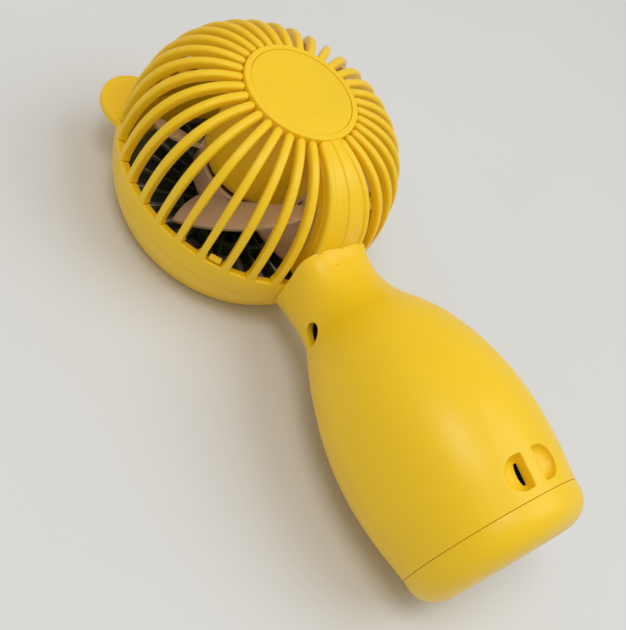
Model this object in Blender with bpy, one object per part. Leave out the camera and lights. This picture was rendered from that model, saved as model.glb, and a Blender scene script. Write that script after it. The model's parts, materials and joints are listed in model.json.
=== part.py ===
"""Handheld electric fan, lying face down on a table.

Frame: metres. The origin is the centre of the fan's front face, on the surface that it lies on.
+Z points to the back of the head, and the handle runs along -Y. The impeller turns about Z.
"""
import math

import bmesh
import bpy
from mathutils import Matrix, Vector

MM = 0.001
GAP = 0.3 * MM                     # running or mating gap between neighbouring pieces

# ---- head: ribbed cage, ring and grille -------------------------------------------------
RING_RADIUS = 40.3 * MM            # widest radius of the head, at the sill
SILL_Z = 21.8 * MM                 # height where the ribs rise from the ring
RING_SEAM_Z = 13.8 * MM            # seam between cage ring and front bezel ring
FRONT_RIM_RADIUS = 32.8 * MM       # where the ring's outside would meet the table
DOME_TOP_Z = 54.7 * MM
DOME_POWER = 2.65                  # exponent of the dome's superellipse
DOME_CORE_RADIUS = 10.1 * MM       # flat middle that the superellipse is wrapped round
DISC_RADIUS = 16.8 * MM            # where the ribs end, at the rear disc
CAP_HOLE_RADIUS = 15.0 * MM
CAGE_WALL = 2.6 * MM
RIB_COUNT = 34
RIB_WIDTH = 2.0 * MM
RIB_PITCH = 2.0 * math.pi / RIB_COUNT
SPINE_GAPS = (RIB_COUNT - 1, 0)      # gaps closed by the panel on both sides of the rib over the handle
HANDLE_ANGLE = -0.5 * math.pi      # the spine and the handle point along -Y
CLIP_GAPS = (4, 12, 21, 29)        # rib gaps that show a snap clip

GRILLE_RIB_COUNT = 26
GRILLE_RIB_WIDTH = 1.3 * MM
GRILLE_DEPTH = 5.0 * MM
GRILLE_BACK_Z = 6.3 * MM
GRILLE_RADIUS = 32.3 * MM
GRILLE_HOOP_RADIUS = 16.5 * MM
GRILLE_HUB_RADIUS = 11.5 * MM

EAR_RADIUS = 11.0 * MM
EAR_DISTANCE = 37.0 * MM           # ear centre to fan axis
EAR_ANGLE = math.radians(38.0)     # from +Y towards each side
EAR_BOTTOM_Z = 17.6 * MM
EAR_THICKNESS = 2.2 * MM

# ---- motor and impeller -----------------------------------------------------------------
POD_RADIUS = 16.4 * MM
POD_BOTTOM_Z = 23.0 * MM
POD_TOP_Z = 51.7 * MM
POD_WALL = 1.6 * MM
MOTOR_RADIUS = 12.0 * MM
SHAFT_RADIUS = 1.0 * MM
SCREW_OFFSET = 7.0 * MM            # motor screws to fan axis
HUB_RADIUS = 16.4 * MM
HUB_FRONT_Z = 11.5 * MM
HUB_BACK_Z = 22.5 * MM
BLADE_COUNT = 5
BLADE_TIP_RADIUS = 31.5 * MM
BLADE_ROOT_RADIUS = 17.2 * MM
BLADE_THICKNESS = 1.3 * MM         # measured along the axis
BLADE_START = math.radians(-178.0)

# ---- handle -----------------------------------------------------------------------------
HANDLE_AXIS_Z = 27.2 * MM
PARTING_Z = 21.0 * MM              # plane between the rear and the front shell
HANDLE_WALL = 2.2 * MM
HANDLE_END_Y = -120.7 * MM         # seam to the base cap
BASE_Y = -130.0 * MM
# outline of the handle: distance along -Y and radius, both in millimetres
HANDLE_OUTLINE = ((38.0, 14.0), (42.0, 13.5), (48.0, 13.5), (55.1, 15.0), (61.5, 18.3), (68.2, 21.4),
                  (81.3, 25.4), (94.5, 27.2), (107.6, 26.8), (120.7, 24.9))
NECK_BEND = 6.0 * MM               # how far the handle's axis bends down next to the head
NECK_BEND_START = 39.0 * MM
NECK_BEND_LENGTH = 18.0 * MM
HANDLE_ROWS = (43.0, 47.5, 52.0, 57.0, 62.5, 69.0, 77.0, 86.0, 95.0, 104.0, 112.5, 120.7)
FLARE = 0.7 * MM                   # how far the neck's sides widen where they meet the ring
FLARE_LENGTH = 4.0 * MM

JACK_CENTRE = Vector((-14.2, -55.3, 24.5)) * MM
JACK_HOLE_RADIUS = 3.2 * MM
LANYARD_X = -1.0 * MM
LANYARD_Y = -114.2 * MM
LANYARD_LENGTH = 16.6 * MM
LANYARD_WIDTH = 8.4 * MM
LANYARD_BAR = 4.0 * MM
LANYARD_BAR_DEPTH = 2.2 * MM
LANYARD_FLOOR_Z = 46.2 * MM
BUTTON_Y = -79.0 * MM
BUTTON_RADIUS = 5.0 * MM
LENS_Y = -70.0 * MM
LENS_RADIUS = 1.3 * MM
BOARD_Z = 11.0 * MM

YELLOW = (0.93, 0.66, 0.03)
MATERIALS = {
    "yellow_shell": (YELLOW, 0.38, 0.0),
    "yellow_inner": ((0.86, 0.56, 0.03), 0.45, 0.0),
    "green_grille": ((0.035, 0.055, 0.028), 0.42, 0.0),
    "tan_impeller": ((0.60, 0.41, 0.24), 0.35, 0.0),
    "steel": ((0.62, 0.62, 0.63), 0.3, 1.0),
    "brass": ((0.80, 0.60, 0.28), 0.35, 1.0),
    "black_plastic": ((0.02, 0.02, 0.02), 0.5, 0.0),
    "board_green": ((0.03, 0.22, 0.08), 0.5, 0.0),
    "cell_wrap": ((0.08, 0.22, 0.55), 0.4, 0.0),
    "foam_grey": ((0.25, 0.25, 0.26), 0.9, 0.0),
    "white_lens": ((0.85, 0.86, 0.84), 0.25, 0.0),
    "wire_red": ((0.6, 0.03, 0.02), 0.45, 0.0),
    "wire_black": ((0.02, 0.02, 0.02), 0.45, 0.0),
    "ferrite": ((0.10, 0.09, 0.09), 0.6, 0.0),
}


# ---- scene helpers ----------------------------------------------------------------------
def clear_scene():
    for obj in list(bpy.data.objects):
        bpy.data.objects.remove(obj, do_unlink=True)


def material(name):
    found = bpy.data.materials.get(name)
    if found:
        return found
    colour, roughness, metallic = MATERIALS[name]
    made = bpy.data.materials.new(name)
    made.use_nodes = True
    shader = made.node_tree.nodes["Principled BSDF"]
    shader.inputs["Base Color"].default_value = (*colour, 1.0)
    shader.inputs["Roughness"].default_value = roughness
    shader.inputs["Metallic"].default_value = metallic
    return made


def add_object(name, bm, material_name, parent=None, sharp_angle=40.0):
    """Turns a bmesh into an object with outward normals, shaded smooth up to sharp_angle."""
    bmesh.ops.recalc_face_normals(bm, faces=bm.faces)
    mesh = bpy.data.meshes.new(name)
    bm.to_mesh(mesh)
    bm.free()
    mesh.shade_smooth()
    mesh.set_sharp_from_angle(angle=math.radians(sharp_angle))
    mesh.materials.append(material(material_name))
    obj = bpy.data.objects.new(name, mesh)
    bpy.context.scene.collection.objects.link(obj)
    obj.parent = parent
    return obj


def add_empty(name, location):
    empty = bpy.data.objects.new(name, None)
    empty.empty_display_size = 10.0 * MM
    empty.location = location
    bpy.context.scene.collection.objects.link(empty)
    return empty


def hide_tool(obj):
    obj.hide_render = True
    obj.display_type = "WIRE"
    return obj


def boolean(obj, tool, operation):
    modifier = obj.modifiers.new(operation.lower(), "BOOLEAN")
    modifier.operation = operation
    modifier.solver = "EXACT"
    modifier.object = hide_tool(tool)


# ---- solids -----------------------------------------------------------------------------
def lathe_mesh(outline, segments):
    """Turns (radius, height) points about Z. An outline that starts and ends on the axis
    gives a solid, any other is taken as a closed loop and gives a ring."""
    bm = bmesh.new()
    closed = outline[0][0] > 0.0 or outline[-1][0] > 0.0
    columns = []
    for radius, height in outline:
        if radius <= 0.0:
            columns.append([bm.verts.new((0.0, 0.0, height))] * segments)
            continue
        turns = (2.0 * math.pi * i / segments for i in range(segments))
        columns.append([bm.verts.new((radius * math.cos(a), radius * math.sin(a), height)) for a in turns])
    pairs = list(zip(columns, columns[1:]))
    if closed:
        pairs.append((columns[-1], columns[0]))
    for low, high in pairs:
        for i in range(segments):
            j = (i + 1) % segments
            corners = list(dict.fromkeys((low[i], low[j], high[j], high[i])))
            bm.faces.new(corners)
    return bm


def rod_mesh(radius, low, high, segments):
    return lathe_mesh(((0.0, low), (radius, low), (radius, high), (0.0, high)), segments)


def tube_mesh(inner, outer, low, high, segments):
    return lathe_mesh(((inner, low), (outer, low), (outer, high), (inner, high)), segments)


def box_mesh(low, high):
    bm = bmesh.new()
    low, high = Vector(low), Vector(high)
    middle = Matrix.Translation((low + high) / 2.0) @ Matrix.Diagonal((*(high - low), 1.0))
    bmesh.ops.create_cube(bm, size=1.0, matrix=middle)
    return bm


def double_wall(bm, outer, inner):
    """Joins two matching grids of points into one closed wall."""
    skins = [[[bm.verts.new(p) for p in row] for row in grid] for grid in (outer, inner)]
    rows, columns = len(outer), len(outer[0])
    for skin in skins:
        for r in range(rows - 1):
            for c in range(columns - 1):
                bm.faces.new((skin[r][c], skin[r][c + 1], skin[r + 1][c + 1], skin[r + 1][c]))
    rim = [(0, c) for c in range(columns)] + [(r, columns - 1) for r in range(1, rows)]
    rim += [(rows - 1, c) for c in range(columns - 2, -1, -1)] + [(r, 0) for r in range(rows - 2, 0, -1)]
    for (r0, c0), (r1, c1) in zip(rim, rim[1:] + rim[:1]):
        bm.faces.new((skins[0][r0][c0], skins[0][r1][c1], skins[1][r1][c1], skins[1][r0][c0]))
    return bm


def swept_loop(bm, loops):
    """Skins a list of matching closed loops and caps both ends."""
    rings = [[bm.verts.new(p) for p in loop] for loop in loops]
    count = len(rings[0])
    for first, second in zip(rings, rings[1:]):
        for i in range(count):
            j = (i + 1) % count
            bm.faces.new((first[i], first[j], second[j], second[i]))
    bm.faces.new(rings[0])
    bm.faces.new(list(reversed(rings[-1])))
    return bm


def pierced_sheet(bm, rows, ribs, width, start_angle, is_open):
    """A sheet of revolution with a strip for each rib and a gap between strips.
    rows holds (radius, height); is_open(row, rib, in_gap) leaves faces out. Returns the vertices by row."""
    grid = []
    for radius, height in rows:
        ring = []
        half = math.asin(0.5 * width / radius)
        for rib in range(ribs):
            middle = start_angle + 2.0 * math.pi * rib / ribs
            for angle in (middle - half, middle + half):
                ring.append(bm.verts.new((radius * math.cos(angle), radius * math.sin(angle), height)))
        grid.append(ring)
    count = 2 * ribs
    for r in range(len(rows) - 1):
        for c in range(count):
            if not is_open(r, c // 2, c % 2 == 1):
                d = (c + 1) % count
                bm.faces.new((grid[r][c], grid[r][d], grid[r + 1][d], grid[r + 1][c]))
    return grid


def solidify(obj, thickness):
    modifier = obj.modifiers.new("wall", "SOLIDIFY")
    modifier.thickness = thickness
    modifier.offset = -1.0
    modifier.use_even_offset = True


# ---- shape rules ------------------------------------------------------------------------
def ring_radius(height):
    """Outside of the ring below the sill: a barrel that draws in towards the front."""
    drop = (SILL_Z - height) / SILL_Z
    return RING_RADIUS - (RING_RADIUS - FRONT_RIM_RADIUS) * drop * drop


def dome_point(turn):
    """Outside of the ribs, from the sill (0) up to the rear disc (towards pi / 2)."""
    power = 2.0 / DOME_POWER
    radius = DOME_CORE_RADIUS + (RING_RADIUS - DOME_CORE_RADIUS) * math.cos(turn) ** power
    height = SILL_Z + (DOME_TOP_Z - SILL_Z) * math.sin(turn) ** power
    return radius, height


def dome_turn(radius):
    share = (radius - DOME_CORE_RADIUS) / (RING_RADIUS - DOME_CORE_RADIUS)
    return math.acos(share ** (0.5 * DOME_POWER))


def head_radius(height):
    if height <= SILL_Z:
        return ring_radius(height)
    share = min((height - SILL_Z) / (DOME_TOP_Z - SILL_Z), 1.0)
    turn = math.asin(share ** (0.5 * DOME_POWER))
    return dome_point(turn)[0]


def handle_radius(distance):
    """Radius of the handle at a distance along -Y, by a Catmull-Rom curve through its outline."""
    points = [(d * MM, r * MM) for d, r in HANDLE_OUTLINE]
    index = 0
    while index < len(points) - 2 and distance > points[index + 1][0]:
        index += 1
    before, after = points[max(index - 1, 0)], points[min(index + 2, len(points) - 1)]
    (d0, r0), (d1, r1) = points[index], points[index + 1]
    step = d1 - d0
    slope0 = (r1 - before[1]) / (d1 - before[0])
    slope1 = (after[1] - r0) / (after[0] - d0)
    t = min(max((distance - d0) / step, 0.0), 1.0)
    blend0 = (2 * t ** 3 - 3 * t ** 2 + 1) * r0 + (t ** 3 - 2 * t ** 2 + t) * step * slope0
    return blend0 + (3 * t ** 2 - 2 * t ** 3) * r1 + (t ** 3 - t ** 2) * step * slope1


def handle_axis_z(distance):
    """Height of the handle's axis, which bends down towards the head."""
    return HANDLE_AXIS_Z - NECK_BEND * math.exp(-((distance - NECK_BEND_START) / NECK_BEND_LENGTH) ** 2)


def rear_surface_z(distance):
    return handle_axis_z(distance) + handle_radius(distance)


# ---- head pieces ------------------------------------------------------------------------
def make_rear_cage():
    """Ribs, ring half and spine panel in one moulding, with the hole for the cap disc."""
    ring_rows = [(ring_radius(z), z) for z in (RING_SEAM_Z, 0.5 * (RING_SEAM_Z + SILL_Z))]
    last_turn = dome_turn(DISC_RADIUS)
    turns = [math.radians(a) for a in (0, 4, 10, 18, 28, 40, 52, 64, 75)] + [last_turn]
    flat_rows = [(DISC_RADIUS - 0.6 * MM, DOME_TOP_Z), (CAP_HOLE_RADIUS + GAP, DOME_TOP_Z)]
    rows = ring_rows + [dome_point(t) for t in turns] + flat_rows
    first_gap_row, last_gap_row = len(ring_rows), len(ring_rows) + len(turns) - 1
    wire_row = first_gap_row + 1
    wire_gaps = (RIB_COUNT - 1, 0)

    def is_open(row, rib, in_gap):
        if row == wire_row and ((in_gap and rib in wire_gaps) or (not in_gap and rib == 0)):
            return True
        return in_gap and first_gap_row <= row < last_gap_row and rib not in SPINE_GAPS

    bm = bmesh.new()
    pierced_sheet(bm, rows, RIB_COUNT, RIB_WIDTH, HANDLE_ANGLE, is_open)
    cage = add_object("rear_cage", bm, "yellow_shell", sharp_angle=50.0)
    solidify(cage, CAGE_WALL)


def make_rear_cap_disc():
    low = POD_TOP_Z + GAP
    add_object("rear_cap_disc", rod_mesh(CAP_HOLE_RADIUS, low, DOME_TOP_Z - 0.1 * MM, 48), "yellow_shell")


def make_front_bezel_ring():
    top = RING_SEAM_Z - GAP
    outside = [(ring_radius(z), z) for z in (top, 0.5 * top, 1.2 * MM)]
    lip = [(FRONT_RIM_RADIUS - 0.8 * MM, 0.0), (GRILLE_RADIUS - 1.6 * MM, 0.0), (GRILLE_RADIUS - 1.6 * MM, 1.0 * MM)]
    inside = [(GRILLE_RADIUS + 2 * GAP, 1.0 * MM), (ring_radius(0.4 * top) - CAGE_WALL, 0.4 * top)]
    inside.append((ring_radius(top) - CAGE_WALL, top + 0.5 * MM))
    add_object("front_bezel_ring", lathe_mesh(outside + lip + inside, 44), "yellow_shell")


def make_front_grille():
    """Flat grille of radial bars between a rim, a hoop and a centre disc."""
    half_hoop = 1.0 * MM
    radii = (GRILLE_RADIUS, GRILLE_RADIUS - 2.0 * MM, GRILLE_HOOP_RADIUS + half_hoop,
             GRILLE_HOOP_RADIUS - half_hoop, GRILLE_HUB_RADIUS)
    open_rows = (1, 3)

    def is_open(row, rib, in_gap):
        return in_gap and row in open_rows

    rows = [(radius, GRILLE_BACK_Z) for radius in radii]
    bm = bmesh.new()
    grid = pierced_sheet(bm, rows, GRILLE_RIB_COUNT, GRILLE_RIB_WIDTH, HANDLE_ANGLE, is_open)
    bm.faces.new(grid[-1])
    grille = add_object("front_grille", bm, "green_grille")
    solidify(grille, GRILLE_DEPTH)


def make_grille_centre_cap():
    front_of_grille = GRILLE_BACK_Z - GRILLE_DEPTH
    outline = ((0.0, 0.0), (8.4 * MM, 0.0), (9.0 * MM, 0.4 * MM), (9.0 * MM, front_of_grille - GAP),
               (0.0, front_of_grille - GAP))
    add_object("grille_centre_cap", lathe_mesh(outline, 32), "green_grille")


def make_snap_clips():
    """Hooks of the bezel that show above the sill in four of the rib gaps."""
    half = Vector((0.8, 1.8, 0.6)) * MM
    centre = Vector((RING_RADIUS - 1.3 * MM, 0.0, SILL_Z + 0.9 * MM))
    for number, gap in enumerate(CLIP_GAPS, start=1):
        clip = add_object(f"ring_snap_clip_{number}", box_mesh(centre - half, centre + half), "yellow_shell")
        clip.rotation_euler = (0.0, 0.0, HANDLE_ANGLE + (gap + 0.5) * RIB_PITCH)


def make_ear(name, side):
    """A flat round ear; its inner edge follows the ring."""
    inner = RING_RADIUS + GAP
    cosine = (EAR_DISTANCE ** 2 + EAR_RADIUS ** 2 - inner ** 2) / (2.0 * EAR_DISTANCE * EAR_RADIUS)
    reach = math.pi - math.acos(cosine)
    outline = []
    for i in range(17):
        angle = -reach + 2.0 * reach * i / 16
        outline.append(Vector((EAR_DISTANCE + EAR_RADIUS * math.cos(angle), EAR_RADIUS * math.sin(angle), 0.0)))
    half_span = math.atan2(outline[-1].y, outline[-1].x)
    for i in range(1, 6):
        angle = half_span * (1.0 - 2.0 * i / 6)
        outline.append(Vector((inner * math.cos(angle), inner * math.sin(angle), 0.0)))
    bm = bmesh.new()
    lift = Vector((0.0, 0.0, EAR_THICKNESS))
    swept_loop(bm, (outline, [p + lift for p in outline]))
    ear = add_object(name, bm, "yellow_shell")
    ear.location = (0.0, 0.0, EAR_BOTTOM_Z)
    ear.rotation_euler = (0.0, 0.0, 0.5 * math.pi - side * EAR_ANGLE)


def make_wire_duct():
    """Channel behind the spine panel that carries the motor leads up to the pod."""
    depth, wall, reach = 2.8 * MM, 1.0 * MM, math.radians(13.0)
    clear = CAGE_WALL + GAP
    loops = []
    for degrees in (3, 9, 17, 28, 40, 52, 64, 74, 80):
        turn = math.radians(degrees)
        radius, height = dome_point(turn)
        before, after = dome_point(turn - 0.01), dome_point(turn + 0.01)
        along = Vector((after[0] - before[0], after[1] - before[1])).normalized()
        inwards = Vector((-along.y, along.x))
        thin = wall / radius
        section = [(-reach, 0.0)] + [(reach * k / 2, depth) for k in range(-2, 3)] + [(reach, 0.0)]
        section += [(reach - thin, 0.0)] + [((reach - thin) * k / 2, depth - wall) for k in range(2, -3, -1)]
        section += [(thin - reach, 0.0)]
        loop = []
        for angle, deep in section:
            r = radius + inwards.x * (clear + deep)
            z = height + inwards.y * (clear + deep)
            loop.append((r * math.cos(HANDLE_ANGLE + angle), r * math.sin(HANDLE_ANGLE + angle), z))
        loops.append(loop)
    add_object("wire_duct", swept_loop(bmesh.new(), loops), "yellow_inner")


def make_motor_pod():
    """Cup that holds the motor under the rear disc."""
    inner = POD_RADIUS - POD_WALL
    floor = POD_BOTTOM_Z + 1.6 * MM
    outline = ((3.2 * MM, POD_BOTTOM_Z), (13.9 * MM, POD_BOTTOM_Z), (15.5 * MM, POD_BOTTOM_Z + 1.0 * MM),
               (POD_RADIUS, POD_BOTTOM_Z + 3.2 * MM), (POD_RADIUS, POD_TOP_Z), (inner, POD_TOP_Z),
               (inner, floor + 1.5 * MM), (13.3 * MM, floor), (3.2 * MM, floor))
    pod = add_object("motor_pod", lathe_mesh(outline, 28), "yellow_inner")
    notch = add_object("pod_notch_tool", box_mesh(Vector((-3.0, -18.0, 48.3)) * MM, Vector((3.0, -12.0, 53.0)) * MM),
                       "yellow_inner")
    boolean(pod, notch, "DIFFERENCE")
    holes = bmesh.new()
    for side in (-1, 1):
        place = Matrix.Translation((side * SCREW_OFFSET, 0.0, POD_BOTTOM_Z))
        bmesh.ops.create_cone(holes, cap_ends=True, segments=12, radius1=1.3 * MM, radius2=1.3 * MM,
                              depth=8.0 * MM, matrix=place)
    boolean(pod, add_object("pod_hole_tool", holes, "yellow_inner"), "DIFFERENCE")


# ---- motor ------------------------------------------------------------------------------
def make_motor(rotor):
    bottom = POD_BOTTOM_Z + 1.6 * MM + GAP
    top = 47.0 * MM
    inner = MOTOR_RADIUS - 0.8 * MM
    bore = 3.0 * MM
    can = ((bore, bottom), (MOTOR_RADIUS, bottom), (MOTOR_RADIUS, top), (inner, top), (inner, bottom + 0.9 * MM),
           (bore, bottom + 0.9 * MM))
    add_object("motor_can", lathe_mesh(can, 20), "steel")
    add_object("motor_end_cap", tube_mesh(bore, MOTOR_RADIUS, top + GAP, top + 1.8 * MM, 20), "black_plastic")
    magnets = tube_mesh(8.6 * MM, inner - GAP, bottom + 3.0 * MM, top - 3.0 * MM, 20)
    add_object("motor_magnets", magnets, "ferrite")
    bush = (SHAFT_RADIUS + GAP, bore - GAP)
    add_object("front_bearing", tube_mesh(*bush, bottom - 0.8 * MM, bottom + 2.6 * MM, 16), "brass")
    add_object("rear_bearing", tube_mesh(*bush, top - 1.6 * MM, top + 1.8 * MM, 16), "brass")
    core = tube_mesh(SHAFT_RADIUS + GAP, 8.1 * MM, bottom + 4.5 * MM, top - 5.0 * MM, 20)
    add_object("motor_armature", core, "ferrite", parent=rotor)
    shaft = rod_mesh(SHAFT_RADIUS, HUB_FRONT_Z + 1.8 * MM, top + 1.2 * MM, 16)
    add_object("motor_shaft", shaft, "steel", parent=rotor)


def screw_outline():
    head, stem = 2.1 * MM, 0.9 * MM
    low, seat, high = POD_BOTTOM_Z - 1.6 * MM, POD_BOTTOM_Z - GAP, POD_BOTTOM_Z + 1.7 * MM
    return ((0.0, low), (head, low), (head, seat), (stem, seat), (stem, high), (0.0, high))


def make_motor_screws():
    """Two identical screws through the pod's floor into the motor."""
    for number, side in enumerate((-1, 1), start=1):
        screw = add_object(f"motor_screw_{number}", lathe_mesh(screw_outline(), 12), "steel")
        screw.location = (side * SCREW_OFFSET, 0.0, 0.0)


def blade_point(across, along, offset):
    """A point of the first blade: across from root (0) to tip (1), along from front to back edge."""
    front_edge = BLADE_START + math.radians(13.5) * across
    back_edge = BLADE_START + math.radians(41.0 + 37.0 * (1.0 - (1.0 - across) ** 2.5))
    angle = front_edge + (back_edge - front_edge) * along
    rise = (0.25 + 0.15 * across) * MM
    height = (14.0 + 2.4 * across) * MM + rise * math.degrees(angle - front_edge)
    tip = min(BLADE_TIP_RADIUS, head_radius(height) - 7.4 * MM)
    root = BLADE_ROOT_RADIUS if height > HUB_BACK_Z - 1.5 * MM else HUB_RADIUS - 0.8 * MM
    radius = root + (tip - root) * across
    return Vector((radius * math.cos(angle), radius * math.sin(angle), height + offset))


def make_impeller(rotor):
    """Cup-shaped hub with five twisted blades."""
    wall = 1.4 * MM
    inner = HUB_RADIUS - wall
    front = HUB_FRONT_Z + 1.4 * MM
    hub = ((0.0, HUB_FRONT_Z), (11.0 * MM, HUB_FRONT_Z), (14.6 * MM, HUB_FRONT_Z + 1.0 * MM),
           (HUB_RADIUS, HUB_FRONT_Z + 3.6 * MM), (HUB_RADIUS, HUB_BACK_Z), (inner, HUB_BACK_Z),
           (inner, front + 1.6 * MM), (13.4 * MM, front), (3.2 * MM, front), (3.2 * MM, 20.6 * MM),
           (SHAFT_RADIUS + GAP, 20.6 * MM), (SHAFT_RADIUS + GAP, front), (0.0, front))
    impeller = add_object("impeller", lathe_mesh(hub, 40), "tan_impeller", parent=rotor)
    blades = bmesh.new()
    across_steps, along_steps = 4, 7
    for number in range(BLADE_COUNT):
        turn = Matrix.Rotation(2.0 * math.pi * number / BLADE_COUNT, 3, "Z")
        skins = []
        for offset in (0.5 * BLADE_THICKNESS, -0.5 * BLADE_THICKNESS):
            skins.append([[turn @ blade_point(i / across_steps, j / along_steps, offset)
                           for j in range(along_steps + 1)] for i in range(across_steps + 1)])
        double_wall(blades, *skins)
    boolean(impeller, add_object("blade_tool", blades, "tan_impeller", parent=rotor), "UNION")
    nose = ((0.0, 10.2 * MM), (4.6 * MM, 10.4 * MM), (5.6 * MM, HUB_FRONT_Z - GAP), (0.0, HUB_FRONT_Z - GAP))
    add_object("hub_nose_cap", lathe_mesh(nose, 24), "tan_impeller", parent=rotor)


# ---- handle -----------------------------------------------------------------------------
def handle_grid(inset, rear, columns):
    """Grid of points on one half of the handle, a given depth inside its outer surface."""
    grid = []
    seam = PARTING_Z + (0.5 * GAP if rear else -0.5 * GAP)
    for index, distance in enumerate((None,) + HANDLE_ROWS):
        at_head = distance is None
        radius = handle_radius((HANDLE_ROWS[0] - 3.0 if at_head else distance) * MM) - inset
        axis_z = handle_axis_z(HANDLE_ROWS[0] * MM if at_head else distance * MM)
        low = math.asin((seam - axis_z) / radius)
        start, end = (low, math.pi - low) if rear else (math.pi - low, 2.0 * math.pi + low)
        away = 0.0 if at_head else distance * MM - RING_RADIUS
        widen = FLARE * math.exp(-away / FLARE_LENGTH)
        row = []
        for c in range(columns):
            angle = start + (end - start) * c / (columns - 1)
            x = math.cos(angle) * (radius + widen * math.cos(angle) ** 2)
            z = axis_z + radius * math.sin(angle)
            y = -distance * MM if not at_head else -math.sqrt(head_radius(z) ** 2 - x * x) - GAP
            row.append(Vector((x, y, z)))
        grid.append(row)
    return grid


def capsule_mesh(length, width, low, high, segments=16):
    """Upright prism with round ends, centred on the Z axis, long along X."""
    half, radius = 0.5 * (length - width), 0.5 * width
    outline = []
    for i in range(segments):
        angle = -0.5 * math.pi + 2.0 * math.pi * i / segments
        side = half if i < segments // 2 else -half
        outline.append((side + radius * math.cos(angle), radius * math.sin(angle)))
    outline.insert(segments // 2, (half, radius))
    outline.append((-half, -radius))
    loops = [[(x, y, z) for x, y in outline] for z in (low, high)]
    return swept_loop(bmesh.new(), loops)


def make_handle_rear_shell():
    """Rear half of the handle, with the charging hole and the lanyard recess and its bar."""
    bm = double_wall(bmesh.new(), handle_grid(0.0, True, 21), handle_grid(HANDLE_WALL, True, 21))
    shell = add_object("handle_rear_shell", bm, "yellow_shell", sharp_angle=35.0)
    centre = Vector((LANYARD_X, LANYARD_Y, 0.0))
    surface = rear_surface_z(-LANYARD_Y)
    boss = add_object("lanyard_boss_tool", capsule_mesh(LANYARD_LENGTH + 3.2 * MM, LANYARD_WIDTH + 3.2 * MM,
                      LANYARD_FLOOR_Z - 1.6 * MM, surface - 2.6 * MM), "yellow_shell")
    boss.location = centre
    boolean(shell, boss, "UNION")
    scoop = add_object("lanyard_scoop_tool", capsule_mesh(LANYARD_LENGTH, LANYARD_WIDTH, LANYARD_FLOOR_Z,
                       surface + 4.0 * MM), "yellow_shell")
    scoop.location = centre
    boolean(shell, scoop, "DIFFERENCE")
    half_bar, half_run = 0.5 * LANYARD_BAR, 0.5 * LANYARD_WIDTH + 0.6 * MM
    bar = bmesh.new()
    loops = []
    for y in (-half_run, half_run):
        top = rear_surface_z(-(LANYARD_Y + y)) - 0.1 * MM
        bottom = surface - LANYARD_BAR_DEPTH
        loops.append([(-half_bar, y, bottom), (half_bar, y, bottom), (half_bar, y, top), (-half_bar, y, top)])
    bridge = add_object("lanyard_bar_tool", swept_loop(bar, loops), "yellow_shell")
    bridge.location = centre
    boolean(shell, bridge, "UNION")
    hole = add_object("jack_hole_tool", rod_mesh(JACK_HOLE_RADIUS, -6.0 * MM, 6.0 * MM, 24), "yellow_shell")
    hole.location = JACK_CENTRE
    hole.rotation_euler = (0.0, 0.5 * math.pi, 0.0)
    boolean(shell, hole, "DIFFERENCE")


def make_handle_front_shell():
    """Front half of the handle, with the holes for the button and the light."""
    bm = double_wall(bmesh.new(), handle_grid(0.0, False, 15), handle_grid(HANDLE_WALL, False, 15))
    shell = add_object("handle_front_shell", bm, "yellow_shell", sharp_angle=35.0)
    for name, y, radius in (("button", BUTTON_Y, BUTTON_RADIUS), ("lens", LENS_Y, LENS_RADIUS)):
        tool = rod_mesh(radius + GAP, -1.0 * MM, 12.0 * MM, 24)
        hole = add_object(name + "_hole_tool", tool, "yellow_shell")
        hole.location = (0.0, y, 0.0)
        boolean(shell, hole, "DIFFERENCE")


def make_base_cap():
    top, foot = 0.0, -(BASE_Y - HANDLE_END_Y) - GAP
    wall = HANDLE_WALL
    outline = ((0.0, foot), (16.0 * MM, foot), (19.4 * MM, foot - 0.4 * MM), (22.0 * MM, foot - 1.9 * MM),
               (23.8 * MM, foot - 4.4 * MM), (24.8 * MM, top), (24.8 * MM - wall, top),
               (21.6 * MM, foot - 4.8 * MM), (19.0 * MM, foot - 2.9 * MM), (16.0 * MM, foot - wall),
               (0.0, foot - wall))
    cap = add_object("base_cap", lathe_mesh(outline, 36), "yellow_shell")
    cap.location = (0.0, HANDLE_END_Y - GAP, HANDLE_AXIS_Z)
    cap.rotation_euler = (0.5 * math.pi, 0.0, 0.0)


def make_button(button):
    """Speed button with its stem, and the switch plunger that it presses."""
    face = handle_axis_z(-BUTTON_Y) - handle_radius(-BUTTON_Y) - 0.7 * MM
    outline = ((0.0, face), (3.9 * MM, face), (BUTTON_RADIUS - 0.3 * MM, face + 0.5 * MM),
               (BUTTON_RADIUS - 0.3 * MM, face + 3.4 * MM), (1.8 * MM, face + 3.4 * MM),
               (1.8 * MM, 6.0 * MM), (0.0, 6.0 * MM))
    add_object("speed_button", lathe_mesh(outline, 24), "yellow_shell", parent=button)
    plunger = rod_mesh(1.6 * MM, 6.0 * MM + GAP, 7.4 * MM, 16)
    add_object("switch_plunger", plunger, "black_plastic", parent=button)


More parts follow.
